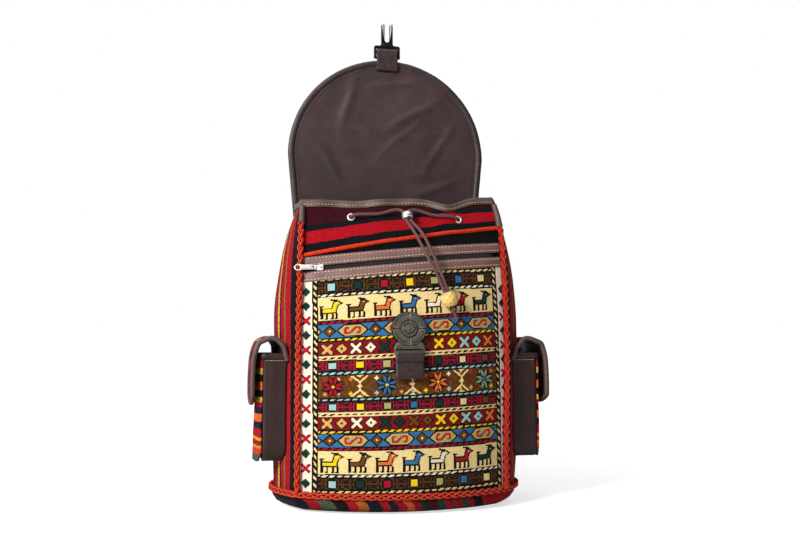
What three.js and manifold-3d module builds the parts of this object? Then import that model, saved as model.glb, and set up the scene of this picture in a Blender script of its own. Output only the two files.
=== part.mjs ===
// A kilim rucksack standing with its flap raised: woven panels, leather edges and flap lining,
// plaited seams, a zipped front pocket, two side pockets, a drawstring mouth and a two-pronged lock.
// Millimetres, +Z up, front towards -Y, origin on the ground under the middle of the base.
import * as THREE from "three";
import Module from "manifold-3d";

// Driving sizes: the bag's body
const RIM_Z = 374;
const SEAM_Z = 18; // where the base meets the walls
const CLOTH = 3; // kilim with its backing
const LEATHER = 1.6;
const GAP = 0.3; // room left between neighbouring pieces
const FRONT_HALF = 126; // half width of the front, from middle to side seam
const FRONT_TAPER = 6; // how much narrower each half is at the rim
const FRONT_HALF_RIM = FRONT_HALF - FRONT_TAPER;
const FRONT_SEAM_Y = -60;
const FRONT_SEAM_RIM_Y = -28;
const FRONT_BULGE = 42;
const FRONT_BULGE_RIM = 8;
const FRONT_LEAN_START = 120; // height where the front begins to lean back
const SIDE_HALF = FRONT_HALF + 25; // half width at the widest part of the gussets
const SIDE_HALF_RIM = FRONT_HALF_RIM + 1;
const SIDE_TAPER_START = 230;
const BACK_HALF = FRONT_HALF + 8;
const BACK_HALF_RIM = FRONT_HALF_RIM;
const BACK_Y = 66;
const BACK_RIM_Y = 50;
const BACK_LEAN_START = 160;
const BASE_ROUND = 26; // how far the flat of the base stays inside the seam
const BRAID_R = 3.8;
const BASE_BRAID_R = 4.3;
const CAP_LENGTH = 22; // leather sleeve over the top end of each plaited seam
const LINING_TOP = RIM_Z - 38;
// The zip and the leather strips beside it
const ZIP_Z = RIM_Z - 79.5;
const ZIP_SLOPE = 0.091;
const ZIP_HALF = 4;
const FACING = 10;
const ZIP_END_X = FRONT_HALF - 10;
const SLIDER_X = 15 - ZIP_END_X;
const SLIDER_LENGTH = 11.5;
const SLIDER_WIDTH = 7.4;
const SLIDER_PLATE = 1.8;
const SLIDER_BRIDGE = 2.6;
const PULL_LENGTH = 26;
const PULL_WIDTH = 8.6;
const PULL_THICK = 1.4;
const PULL_TILT = 13; // degrees off the zip, so that the pull clears the plaited seam
// The mouth's cord
const EYELET_X = [-61, 70];
const EYELET_Z = RIM_Z - 26;
const CORD_R = 1.85;
const EYELET_HOLE = CORD_R + 0.65;
const EYELET_R = EYELET_HOLE + 2.5;
const RING_AT = [6, EYELET_Z - 1.5];
const RING_R = 6.6;
const BEAD_AT = [48, ZIP_Z - 49.5];
const BEAD_R = 10;
const CORD_STANDOFF = 14.5; // where the cords hang over the zip
// The flap with its fork
const FLAP_ROOT_Z = RIM_Z - 28;
const FLAP_ROOT_HALF = BACK_HALF_RIM;
const FLAP_R = FLAP_ROOT_HALF + 9;
const FLAP_CENTRE_Z = FLAP_ROOT_Z + 96;
const FLAP_CLEAR = 1.0869945; // from the back panel to the face of the leather lining
const FLAP_COVER = 2.6;
const FLAP_EDGE = 5; // width of the binding
const FORK_Z = FLAP_CENTRE_Z + FLAP_R + 13; // the bar that the tab holds
const FORK_THICK = 3;
const PRONG_LENGTH = 30;
const PRONG_WIDTH = 4.7;
const PRONG_SPACING = 11;
const TAB_WIDTH = 28;
const FORK_HALF = TAB_WIDTH / 2 + 3.6;
const TAB_LENGTH = 26;
// The lock on the front
const LOCK_Z = 212;
const LOCK_R = 20.7;
const LOCK_THICK = 5.2;
const LOCK_BAR_DROP = LOCK_R + 8.8; // from the middle of the disc to the bar in the strap
const BUTTON_R = 6;
const BUTTON_TRAVEL = 1.6;
const LOCK_STRAP_WIDTH = 32;
const LOCK_FRAME_HALF = LOCK_STRAP_WIDTH / 2 + 1.9;
const PATCH_LENGTH = 20;
// The side pockets
const POCKET_FRONT_Y = -40;
const POCKET_BACK_Y = 45;
const POCKET_BASE_Z = 56;
const POCKET_RIM_Z = 184;
const POCKET_EDGE_X = SIDE_HALF + 16;
const POCKET_BULGE = 13;
const POCKET_FLAP_Z = POCKET_RIM_Z + 19;
const POCKET_FLAP_END_Z = POCKET_RIM_Z - 60;
// The carrying parts on the back
const STRAP_WIDTH = 44;
const STRAP_THICK = 6;
const STRAP_STANDOFF = 44;
const STRAP_TOP_X = 42;
const STRAP_END_X = BACK_HALF - 38;
const STRAP_TOP_Z = FLAP_ROOT_Z - 10;
const STRAP_END_Z = 112;
const TAIL_WIDTH = 26;
const TAIL_END_Z = 48;
const HANDLE_REACH = 34;

const V = (x, y, z) => new THREE.Vector3(x, y, z);
const mix = THREE.MathUtils.lerp;
const bag = new THREE.Group();
const wasm = await Module();
wasm.setup();

const material = (color, roughness, metalness = 0) =>
  new THREE.MeshStandardMaterial({ color, roughness, metalness });
const kilim = material(0x7c1420, 0.95);
const soumak = material(0x8a3a30, 0.95);
const leather = material(0x5a3d38, 0.6);
const plait = material(0xa81c22, 0.9);
const cotton = material(0x2c2626, 0.95);
const corded = material(0x6a4c48, 0.85);
const nickel = material(0xc8c6c0, 0.25, 1);
const gunmetal = material(0x55524a, 0.35, 1);
const beadwood = material(0xd8c089, 0.55);

function add(name, geometry, look, parent = bag) {
  const mesh = new THREE.Mesh(geometry, look);
  mesh.name = name;
  parent.add(mesh);
  return mesh;
}

// A closed body from points and triangles, turned so that its faces look outwards.
function solid(points, faces) {
  let volume = 0;
  for (const [a, b, c] of faces) {
    volume += points[a].dot(points[b].clone().cross(points[c]));
  }
  const index = volume < 0 ? faces.map(([a, b, c]) => [a, c, b]) : faces;
  const geometry = new THREE.BufferGeometry().setFromPoints(points);
  geometry.setIndex(index.flat());
  geometry.computeVertexNormals();
  return geometry;
}

// The outward normal of a surface, outwards being the side that lies away from the bag's axis.
function normalAt(surface, a, b) {
  const step = 0.01;
  const da = surface(a + step, b).sub(surface(a - step, b));
  const db = surface(a, b + step).sub(surface(a, b - step));
  const n = da.cross(db).normalize();
  const p = surface(a, b);
  return n.dot(V(p.x, p.y, 0)) < 0 ? n.negate() : n;
}

const offset = (surface, a, b, out) =>
  surface(a, b).addScaledVector(normalAt(surface, a, b), out);

// A sheet on a surface: place turns the unit square into the surface's coordinates.
function sheet(surface, place, columns, rows, from, to) {
  const points = [];
  const faces = [];
  const width = columns + 1;
  const half = width * (rows + 1);
  for (const out of [from, to]) {
    for (let j = 0; j <= rows; j++) {
      for (let i = 0; i <= columns; i++) {
        points.push(offset(surface, ...place(i / columns, j / rows), out));
      }
    }
  }
  const quad = (a, b, c, d) => faces.push([a, b, c], [a, c, d]);
  for (let j = 0; j < rows; j++) {
    for (let i = 0; i < columns; i++) {
      const k = j * width + i;
      quad(k, k + 1, k + width + 1, k + width);
      quad(half + k, half + k + width, half + k + width + 1, half + k + 1);
    }
  }
  const edge = [];
  for (let i = 0; i < columns; i++) edge.push(i);
  for (let j = 0; j < rows; j++) edge.push(j * width + columns);
  for (let i = columns; i > 0; i--) edge.push(rows * width + i);
  for (let j = rows; j > 0; j--) edge.push(j * width);
  edge.forEach((k, n) => {
    const next = edge[(n + 1) % edge.length];
    quad(k, half + k, half + next, next);
  });
  return solid(points, faces);
}

// Loops of the same number of points joined in turn: capped at both ends, or closed to a ring.
function loft(loops, ring = false) {
  const points = loops.flat();
  const size = loops[0].length;
  const faces = [];
  const last = ring ? loops.length : loops.length - 1;
  for (let j = 0; j < last; j++) {
    const here = j * size;
    const next = ((j + 1) % loops.length) * size;
    for (let i = 0; i < size; i++) {
      const k = (i + 1) % size;
      faces.push([here + i, here + k, next + k], [here + i, next + k, next + i]);
    }
  }
  if (!ring) {
    [0, loops.length - 1].forEach((which, end) => {
      const loop = loops[which];
      const middle = points.length;
      points.push(loop.reduce((sum, p) => sum.add(p), V(0, 0, 0)).divideScalar(size));
      for (let i = 0; i < size; i++) {
        const pair = [which * size + i, which * size + ((i + 1) % size)];
        faces.push(end ? [...pair, middle] : [pair[1], pair[0], middle]);
      }
    });
  }
  return solid(points, faces);
}

function circle(radius) {
  return new THREE.Shape().absarc(0, 0, radius, 0, 2 * Math.PI);
}

function tube(points, radius, steps, sides = 8) {
  return new THREE.ExtrudeGeometry(circle(radius), {
    steps,
    curveSegments: sides / 2,
    extrudePath: new THREE.CatmullRomCurve3(points, false, "centripetal"),
  });
}

function manifold(geometry) {
  const position = geometry.getAttribute("position");
  const keys = new Map();
  const vertices = [];
  const order = [];
  const index = geometry.index;
  const count = index ? index.count : position.count;
  for (let i = 0; i < count; i++) {
    const k = index ? index.getX(i) : i;
    const p = [position.getX(k), position.getY(k), position.getZ(k)];
    const key = p.map((value) => Math.round(value * 1e4)).join();
    if (!keys.has(key)) {
      keys.set(key, keys.size);
      vertices.push(...p);
    }
    order.push(keys.get(key));
  }
  const kept = [];
  for (let i = 0; i < order.length; i += 3) {
    const [a, b, c] = order.slice(i, i + 3);
    if (a !== b && b !== c && a !== c) kept.push(a, b, c);
  }
  return new wasm.Manifold(
    new wasm.Mesh({
      numProp: 3,
      vertProperties: new Float32Array(vertices),
      triVerts: new Uint32Array(kept),
    }),
  );
}

function fromManifold(body) {
  const mesh = body.getMesh();
  const geometry = new THREE.BufferGeometry();
  geometry.setAttribute("position", new THREE.BufferAttribute(mesh.vertProperties, 3));
  geometry.setIndex(new THREE.BufferAttribute(mesh.triVerts, 1));
  geometry.computeVertexNormals();
  return geometry;
}

// A shape drawn in X and Z, given a thickness along Y from one depth to another.
function plateXZ(shape, yFrom, yTo, curveSegments = 12) {
  const geometry = new THREE.ExtrudeGeometry(shape, {
    depth: yTo - yFrom,
    bevelEnabled: false,
    curveSegments,
  });
  return geometry.rotateX(Math.PI / 2).translate(0, yTo, 0);
}

// A shape drawn in Y and Z, given a width along X.
function barYZ(shape, width, curveSegments = 10) {
  const geometry = new THREE.ExtrudeGeometry(shape, {
    depth: width,
    bevelEnabled: false,
    curveSegments,
  });
  const turn = new THREE.Matrix4().makeBasis(V(0, 1, 0), V(0, 0, 1), V(1, 0, 0));
  return geometry.applyMatrix4(turn).translate(-width / 2, 0, 0);
}

function rectangle(x0, y0, x1, y1) {
  const shape = new THREE.Shape();
  shape.moveTo(x0, y0);
  shape.lineTo(x1, y0);
  shape.lineTo(x1, y1);
  shape.lineTo(x0, y1);
  shape.closePath();
  return shape;
}

// The bag's walls: each size holds up to a height and then eases to its value at the rim.
function eased(z, start, low, high) {
  const t = Math.max(0, (z - start) / (RIM_Z - start));
  return low + (high - low) * t * t;
}
const frontHalf = (z) => eased(z, FRONT_LEAN_START, FRONT_HALF, FRONT_HALF_RIM);
const frontSeamY = (z) => eased(z, FRONT_LEAN_START, FRONT_SEAM_Y, FRONT_SEAM_RIM_Y);
const frontBulge = (z) => eased(z, FRONT_LEAN_START, FRONT_BULGE, FRONT_BULGE_RIM);
const sideHalf = (z) => eased(z, SIDE_TAPER_START, SIDE_HALF, SIDE_HALF_RIM);
const backHalf = (z) => eased(z, BACK_LEAN_START, BACK_HALF, BACK_HALF_RIM);
const backY = (z) => eased(z, BACK_LEAN_START, BACK_Y, BACK_RIM_Y);

function front(s, z) {
  const half = frontHalf(z);
  const bulge = frontBulge(z);
  const radius = (half * half + bulge * bulge) / (2 * bulge);
  const x = s * half;
  return V(x, frontSeamY(z) - Math.sqrt(radius * radius - x * x) + radius - bulge, z);
}
const gusset = (side) => (t, z) => {
  const straight = mix(frontHalf(z), backHalf(z), t);
  const middle = (frontHalf(z) + backHalf(z)) / 2;
  const x = straight + (sideHalf(z) - middle) * Math.sin(Math.PI * t);
  return V(side * x, mix(frontSeamY(z), backY(z), t), z);
};
const back = (s, z) => V(s * backHalf(z), backY(z), z);

// The wall's outline at a height, going round from the front's left seam.
function outline(z, inset, columns = 12, sides = 7, backColumns = 4) {
  const points = [];
  for (let i = 0; i < columns; i++) points.push(front(-1 + (2 * i) / columns, z));
  for (let i = 0; i < sides; i++) points.push(gusset(1)(i / sides, z));
  for (let i = 0; i < backColumns; i++) points.push(back(1 - (2 * i) / backColumns, z));
  for (let i = 0; i < sides; i++) points.push(gusset(-1)(1 - i / sides, z));
  return points.map((p, i) => {
    const before = points.at(i - 1);
    const after = points[(i + 1) % points.length];
    const into = after.clone().sub(p).normalize().add(p.clone().sub(before).normalize());
    const inward = V(-into.y, into.x, 0).normalize();
    const spread = inward.dot(V(before.y - p.y, p.x - before.x, 0).normalize());
    return p.clone().addScaledVector(inward, inset / Math.max(0.6, Math.abs(spread)));
  });
}

const wallBottom = SEAM_Z + GAP;
// Share of a panel's width left free at its seams: the corners are sharper towards the rim.
const frontPull = (z) => eased(z, FRONT_LEAN_START, 0.009, 0.026);
const gussetPull = (z) => eased(z, FRONT_LEAN_START, 0.009, 0.044);
const BACK_PULL = (CLOTH + 0.35) / BACK_HALF;

add(
  "base_panel",
  loft([
    outline(0, BASE_ROUND).map((p) => p.setZ(0)),
    outline(2.5, BASE_ROUND * 0.5),
    outline(7, BASE_ROUND * 0.18),
    outline(12, BASE_ROUND * 0.05),
    outline(SEAM_Z, 0),
    outline(SEAM_Z, CLOTH),
    outline(12, CLOTH + BASE_ROUND * 0.1),
    outline(CLOTH + 4.5, CLOTH + BASE_ROUND * 0.3),
    outline(CLOTH, CLOTH + BASE_ROUND),
  ]),
  kilim,
);

// Panels of the walls
const zipAt = (x) => ZIP_Z + ZIP_SLOPE * x;
function frontBand(low, high) {
  return (a, b) => {
    const s = 2 * a - 1;
    const z = mix(low(s * FRONT_HALF), high(s * FRONT_HALF), b);
    return [s * (1 - frontPull(z)), z];
  };
}
const belowZip = (drop) => (x) => zipAt(x) - drop;
const level = (z) => () => z;
const facingEnd = ZIP_HALF + FACING;
add(
  "front_panel",
  sheet(front, frontBand(level(wallBottom), belowZip(facingEnd + GAP)), 14, 8, -CLOTH, 0),
  soumak,
);
add(
  "zip_facing_lower",
  sheet(front, frontBand(belowZip(facingEnd), belowZip(ZIP_HALF + GAP)), 14, 1, -CLOTH, 0.4),
  leather,
);
add(
  "zip_facing_upper",
  sheet(front, frontBand(belowZip(-ZIP_HALF - GAP), belowZip(-facingEnd)), 14, 1, -CLOTH, 0.4),
  leather,
);
const eyelets = EYELET_X.map((x) => ({ s: x / frontHalf(EYELET_Z), z: EYELET_Z }));
let upper = manifold(
  sheet(front, frontBand(belowZip(-facingEnd - GAP), level(RIM_Z)), 14, 5, -CLOTH, 0),
);
const turnTo = (z, x = V(1, 0, 0)) => {
  const y = z.clone().cross(x).normalize();
  return new THREE.Matrix4().makeBasis(y.clone().cross(z), y, z);
};
function eyelet(at) {
  const n = normalAt(front, at.s, at.z);
  return turnTo(n).setPosition(front(at.s, at.z));
}
const drillR = EYELET_HOLE + 0.9;
for (const at of eyelets) {
  const drill = new THREE.CylinderGeometry(drillR, drillR, 24, 16).rotateX(Math.PI / 2);
  upper = upper.subtract(manifold(drill.applyMatrix4(eyelet(at))));
}
add("upper_panel", fromManifold(upper), kilim);
add(
  "front_pocket_lining",
  sheet(
    front,
    frontBand(level(SEAM_Z + 14), belowZip(-facingEnd + 2)),
    12,
    6,
    -CLOTH - 1.8,
    -CLOTH - 1,
  ),
  cotton,
);
for (const [name, side] of [["left_gusset", -1], ["right_gusset", 1]]) {
  const place = (a, b) => {
    const z = mix(wallBottom, RIM_Z, b);
    return [mix(gussetPull(z), 0.992, a), z];
  };
  add(name, sheet(gusset(side), place, 8, 8, -CLOTH, 0), kilim);
}
const backSpan = (a, b) => [mix(-1 + BACK_PULL, 1 - BACK_PULL, a), mix(wallBottom, RIM_Z, b)];
add("back_panel", sheet(back, backSpan, 4, 8, -CLOTH, 0), kilim);
const lined = CLOTH + 3;
add(
  "lining",
  loft([
    outline(CLOTH + 1, lined + BASE_ROUND),
    outline(CLOTH + 5.5, lined + BASE_ROUND * 0.35),
    outline(20, lined),
    outline(120, lined),
    outline(200, lined),
    outline(270, lined),
    outline(LINING_TOP, lined),
    outline(LINING_TOP, lined + 1),
    outline(270, lined + 1),
    outline(200, lined + 1),
    outline(120, lined + 1),
    outline(20, lined + 1),
    outline(CLOTH + 7, lined + 1 + BASE_ROUND * 0.35),
    outline(CLOTH + 2, lined + 1 + BASE_ROUND),
  ]),
  cotton,
);
const bound = 8; // depth of the rim's binding
const boundRing = (z, inset, up) => outline(z, inset).map((p) => p.setZ(z + up));
const legOut = 0.7;
const legIn = CLOTH + 1.3; // the wall leans, so its level section is a little thicker
const bindingEdges = [
  boundRing(RIM_Z - bound, -legOut - 1.3, 0),
  boundRing(RIM_Z, -legOut - 1.3, 1.6),
  boundRing(RIM_Z, legIn + 1.3, 1.6),
  boundRing(RIM_Z - bound, legIn + 1.3, 0),
  boundRing(RIM_Z - bound, legIn, 0),
  boundRing(RIM_Z, legIn, GAP),
  boundRing(RIM_Z, -legOut, GAP),
  boundRing(RIM_Z - bound, -legOut, 0),
];
add("rim_binding", loft(bindingEdges[0].map((_, i) => bindingEdges.map((edge) => edge[i])), true), leather);

// Plaited seams and their leather sleeves
function seamLine(side, fromZ, toZ, radius, count) {
  return Array.from({ length: count + 1 }, (_, i) => {
    const z = mix(fromZ, toZ, i / count);
    const out = normalAt(front, side, z).add(normalAt(gusset(side), 0, z)).normalize();
    return front(side, z).addScaledVector(out, radius + GAP);
  });
}
const plaitTop = RIM_Z - bound - CAP_LENGTH - 3;
for (const [name, side] of [["left", -1], ["right", 1]]) {
  const low = SEAM_Z + BASE_BRAID_R + BRAID_R * 0.4;
  add(name + "_braid", tube(seamLine(side, low, plaitTop, BRAID_R, 8), BRAID_R, 12), plait);
  const sleeve = seamLine(side, plaitTop + GAP, plaitTop + CAP_LENGTH, BRAID_R + 0.2, 3);
  add(name + "_braid_cap", tube(sleeve, BRAID_R + 0.2, 3), leather);
}
add(
  "base_braid",
  loft(
    outline(SEAM_Z, 0).map((p, i, loop) => {
      const along = loop[(i + 1) % loop.length].clone().sub(loop.at(i - 1)).normalize();
      const outward = V(along.y, -along.x, 0);
      const middle = p.clone().addScaledVector(outward, BASE_BRAID_R + GAP);
      return Array.from({ length: 8 }, (_, k) => {
        const turn = (k / 8) * 2 * Math.PI;
        const at = middle.clone().addScaledVector(outward, BASE_BRAID_R * Math.cos(turn));
        return at.setZ(SEAM_Z + BASE_BRAID_R * Math.sin(turn));
      });
    }),
    true,
  ),
  plait,
);

// The zip: its chain lies on a circle through three points of the front, so the slider turns about that circle's axis
const onZip = (x) => front(x / FRONT_HALF, zipAt(x));
const zipEnds = [onZip(-ZIP_END_X), onZip(0), onZip(ZIP_END_X)];
const chordA = zipEnds[0].clone().sub(zipEnds[1]);
const chordB = zipEnds[2].clone().sub(zipEnds[1]);
const zipAxis = chordB.clone().cross(chordA).normalize();
const across = chordA.clone().cross(chordB);
const zipCentre = zipEnds[1]
  .clone()
  .add(
    chordB
      .clone()
      .multiplyScalar(chordA.lengthSq())
      .sub(chordA.clone().multiplyScalar(chordB.lengthSq()))
      .cross(across)
      .divideScalar(2 * across.lengthSq()),
  );
if (zipAxis.z < 0) zipAxis.negate();
const zipMiddle = zipEnds[1].clone().sub(zipCentre);
const zipRadius = zipMiddle.length();
const zipOut = zipMiddle.clone().normalize();
const zipAlong = zipAxis.clone().cross(zipOut);
const zipLean = normalAt(front, 0, ZIP_Z).dot(zipAxis);
const zipPoint = (turn, out, up) =>
  zipCentre
    .clone()
    .addScaledVector(zipOut, (zipRadius + out) * Math.cos(turn))
    .addScaledVector(zipAlong, (zipRadius + out) * Math.sin(turn))
    .addScaledVector(zipAxis, up);
const zipTurn = Math.asin(ZIP_END_X / zipRadius);
const chainHalf = ZIP_HALF - CLOTH / 6; // the facings close in on it with their depth
const chainLoops = Array.from({ length: 17 }, (_, i) => {
  const turn = mix(-zipTurn, zipTurn, i / 16);
  const corner = (out, up) => zipPoint(turn, out - zipLean * up, up + zipLean * out);
  return [
    corner(-CLOTH, -chainHalf),
    corner(0, -chainHalf),
    corner(0, chainHalf),
    corner(-CLOTH, chainHalf),
  ];
});
add("zip_chain", loft(chainLoops), cotton);

// Slider and pull, drawn in the zip's own frame: X along the zip, Y up across it, Z outwards
const sliderTurn = Math.asin(SLIDER_X / zipRadius);
const sliderX = zipPoint(sliderTurn + 0.001, 0, 0).sub(zipPoint(sliderTurn, 0, 0)).normalize();
const zipFrame = new THREE.Group();
const sliderOutward = zipPoint(sliderTurn, 1, zipLean).sub(zipPoint(sliderTurn, 0, 0)).normalize();
zipFrame.applyMatrix4(turnTo(sliderOutward, sliderX).setPosition(zipPoint(sliderTurn, 0, 0)));
bag.add(zipFrame);
const sliderBase = GAP + 0.15;
const sliderPlan = new THREE.Shape();
sliderPlan.moveTo(-SLIDER_LENGTH / 2, -SLIDER_WIDTH * 0.32);
sliderPlan.lineTo(-SLIDER_LENGTH / 2, SLIDER_WIDTH * 0.32);
sliderPlan.lineTo(SLIDER_LENGTH * 0.2, SLIDER_WIDTH / 2);
sliderPlan.lineTo(SLIDER_LENGTH / 2, SLIDER_WIDTH / 2);
sliderPlan.lineTo(SLIDER_LENGTH / 2, -SLIDER_WIDTH / 2);
sliderPlan.lineTo(SLIDER_LENGTH * 0.2, -SLIDER_WIDTH / 2);
sliderPlan.closePath();
const plateDepth = { depth: SLIDER_PLATE, bevelEnabled: false };
const sliderPlate = new THREE.ExtrudeGeometry(sliderPlan, plateDepth).translate(0, 0, sliderBase);
const bridge = new THREE.BoxGeometry(SLIDER_LENGTH * 0.62, 2.4, SLIDER_BRIDGE);
bridge.translate(SLIDER_LENGTH * 0.12, 0, sliderBase + SLIDER_BRIDGE / 2 + 0.01);
add("zip_slider", fromManifold(manifold(sliderPlate).add(manifold(bridge))), nickel, zipFrame);
const pullFrame = new THREE.Group();
const pullLift = sliderBase + SLIDER_BRIDGE + PULL_THICK / 2 + GAP;
pullFrame.position.set(-SLIDER_LENGTH * 0.19, 0, pullLift);
pullFrame.rotation.y = THREE.MathUtils.degToRad(PULL_TILT);
zipFrame.add(pullFrame);
const pullPlan = new THREE.Shape();
pullPlan.moveTo(0.4, -PULL_WIDTH * 0.32);
pullPlan.lineTo(0.4, PULL_WIDTH * 0.32);
pullPlan.lineTo(-PULL_LENGTH * 0.7, PULL_WIDTH * 0.38);
pullPlan.absarc(-PULL_LENGTH + PULL_WIDTH / 2, 0, PULL_WIDTH / 2, Math.PI / 2, Math.PI * 1.5);
pullPlan.lineTo(-PULL_LENGTH * 0.7, -PULL_WIDTH * 0.38);
pullPlan.closePath();
pullPlan.holes.push(
  new THREE.Path().absarc(-PULL_LENGTH + PULL_WIDTH / 2, 0, PULL_WIDTH * 0.32, 0, 2 * Math.PI, true),
);
const pullDepth = { depth: PULL_THICK, bevelEnabled: false, curveSegments: 8 };
add(
  "zip_pull",
  new THREE.ExtrudeGeometry(pullPlan, pullDepth).translate(0, 0, -PULL_THICK / 2),
  nickel,
  pullFrame,
);

// Eyelets, and the mouth's cord with its ring, bead and knot
const eyeletProfile = [
  [EYELET_HOLE, -CLOTH - GAP - 0.9],
  [EYELET_R - 0.5, -CLOTH - GAP - 0.9],
  [EYELET_R - 0.5, -CLOTH - GAP],
  [EYELET_HOLE + 0.5, -CLOTH - GAP],
  [EYELET_HOLE + 0.5, GAP],
  [EYELET_R, GAP],
  [EYELET_R - 0.8, GAP + 1.1],
  [EYELET_HOLE + 0.4, GAP + 1.1],
  [EYELET_HOLE, GAP],
  [EYELET_HOLE, -CLOTH - GAP - 0.9],
].map(([r, h]) => new THREE.Vector2(r, h));
eyelets.forEach((at, i) => {
  const rim = new THREE.LatheGeometry(eyeletProfile, 16).rotateX(Math.PI / 2);
  add(["eyelet_left", "eyelet_right"][i], rim.applyMatrix4(eyelet(at)), nickel);
});
const above = (x, z, out) => offset(front, x / frontHalf(z), z, out);
const ringMiddle = above(RING_AT[0], RING_AT[1], RING_R + 1.2);
const beadMiddle = above(BEAD_AT[0], BEAD_AT[1], BEAD_R + 0.5);
const beadWay = V(0.34, -0.14, -0.93).normalize(); // the way the cords run through the bead
const ringWay = V(0.16, -0.44, -0.88).normalize();
const apart = CORD_R + 0.45;
const beside = (way, at) => normalAt(front, at[0] / FRONT_HALF, at[1]).cross(way).normalize();
function cordRoute(side) {
  const at = eyelets[side < 0 ? 0 : 1];
  const x = EYELET_X[side < 0 ? 0 : 1];
  const hole = (out) => offset(front, at.s, at.z, out);
  const along = (middle, way, place, step, spread = 1) =>
    middle
      .clone()
      .addScaledVector(way, step)
      .addScaledVector(beside(way, place), side * apart * spread);
  const zipX = mix(RING_AT[0], BEAD_AT[0], 0.5);
  const over = (px, z, out, spread) => above(px + side * apart * spread, z, out);
  return [
    hole(-1.2),
    hole(0.6),
    hole(3.2),
    above(x - side * 7, EYELET_Z + 1, 5.4),
    above(mix(x, RING_AT[0], 0.5), EYELET_Z + 2.4, 5),
    over(RING_AT[0], RING_AT[1] + 8.6, 6.4, 5),
    along(ringMiddle, ringWay, RING_AT, -6.6, 1.5),
    along(ringMiddle, ringWay, RING_AT, -2.5),
    along(ringMiddle, ringWay, RING_AT, 5),
    over(mix(RING_AT[0], zipX, 0.5), ZIP_Z + 27.5, 13.6, 1.9),
    over(zipX, ZIP_Z + 1.5, CORD_STANDOFF + 0.6, 1.7),
    over(mix(zipX, BEAD_AT[0], 0.5), ZIP_Z - 23.5, CORD_STANDOFF - 1, 1.15),
    along(beadMiddle, beadWay, BEAD_AT, -BEAD_R - 1),
    along(beadMiddle, beadWay, BEAD_AT, BEAD_R - 0.6),
  ];
}
add("draw_cord_left", tube(cordRoute(-1), CORD_R, 42), corded);
add("draw_cord_right", tube(cordRoute(1), CORD_R, 42), corded);
const innerRoute = [];
for (const side of [-1, 1]) {
  const at = eyelets[side < 0 ? 0 : 1];
  const seamS = side * 0.86;
  const points = [
    offset(front, at.s, at.z, -1.6),
    offset(front, at.s, at.z, -CLOTH - 4),
    offset(front, at.s + side * 0.05, at.z, -CLOTH - 9.5),
    offset(front, mix(at.s, seamS, 0.55), at.z, -CLOTH - 5),
    offset(front, seamS, at.z, -CLOTH - 6),
    offset(gusset(side), 0.25, at.z, -CLOTH - 6),
    offset(gusset(side), 0.5, at.z, -CLOTH - 5),
    offset(gusset(side), 0.78, at.z, -CLOTH - 7),
    offset(back, side * 0.84, at.z, -CLOTH - 6),
    offset(back, side * 0.4, at.z, -CLOTH - 5),
  ];
  innerRoute.push(...(side < 0 ? points : points.reverse()));
}
add("draw_cord_inner", tube(innerRoute, CORD_R, 56), corded);
function threaded(profile, middle, way, look, name, segments = 14) {
  const points = profile.map(([r, h]) => new THREE.Vector2(r, h));
  const body = new THREE.LatheGeometry(points, segments);
  body.rotateX(Math.PI / 2).applyMatrix4(turnTo(way).setPosition(middle));
  add(name, body, look);
}
const bore = apart + CORD_R + 0.5;
threaded(
  [
    [bore, -3.6],
    [RING_R - 0.8, -3.6],
    [RING_R, -1.8],
    [RING_R, 1.8],
    [RING_R - 0.8, 3.6],
    [bore, 3.6],
    [bore, -3.6],
  ],
  ringMiddle,
  ringWay,
  nickel,
  "cord_ring",
);
const beadEnd = Math.sqrt(BEAD_R * BEAD_R - (bore + 1) * (bore + 1));
threaded(
  [
    [bore, -beadEnd],
    [bore + 1, -beadEnd],
    [BEAD_R * 0.87, -BEAD_R * 0.5],
    [BEAD_R, 0],
    [BEAD_R * 0.87, BEAD_R * 0.5],
    [bore + 1, beadEnd],
    [bore, beadEnd],
    [bore, -beadEnd],
  ],
  beadMiddle,
  beadWay,
  beadwood,
  "bead",
);
const knotTop = BEAD_R - 0.15;
threaded(
  [
    [0, knotTop],
    [3.4, knotTop + 0.4],
    [4.4, knotTop + 3],
    [3.2, knotTop + 6],
    [2, knotTop + 7],
    [2, knotTop + 16],
    [0, knotTop + 16],
  ],
  beadMiddle,
  beadWay,
  corded,
  "cord_knot",
  10,
);

// The flap
function flapShape(inset) {
  const shape = new THREE.Shape();
  shape.moveTo(FLAP_ROOT_HALF - inset, FLAP_ROOT_Z);
  shape.lineTo(FLAP_R - inset, FLAP_CENTRE_Z);
  shape.absarc(0, FLAP_CENTRE_Z, FLAP_R - inset, 0, Math.PI);
  shape.lineTo(-FLAP_ROOT_HALF + inset, FLAP_ROOT_Z);
  return shape;
}
const FLAP_Y = backY(FLAP_ROOT_Z) + FLAP_CLEAR;
const coverY = FLAP_Y + LEATHER + GAP;
const bindFrom = FLAP_Y - 0.7;
const bindTo = coverY + FLAP_COVER + 0.7;
add("flap_lining", plateXZ(flapShape(FLAP_EDGE + GAP), FLAP_Y, FLAP_Y + LEATHER), leather);
add("flap_cover", plateXZ(flapShape(FLAP_EDGE + GAP), coverY, coverY + FLAP_COVER), kilim);
const outer = flapShape(0).getPoints(24);
const inner = flapShape(FLAP_EDGE).getPoints(24);
add("flap_binding", plateXZ(new THREE.Shape([...outer, ...inner.reverse()]), bindFrom, bindTo), leather);

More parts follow.
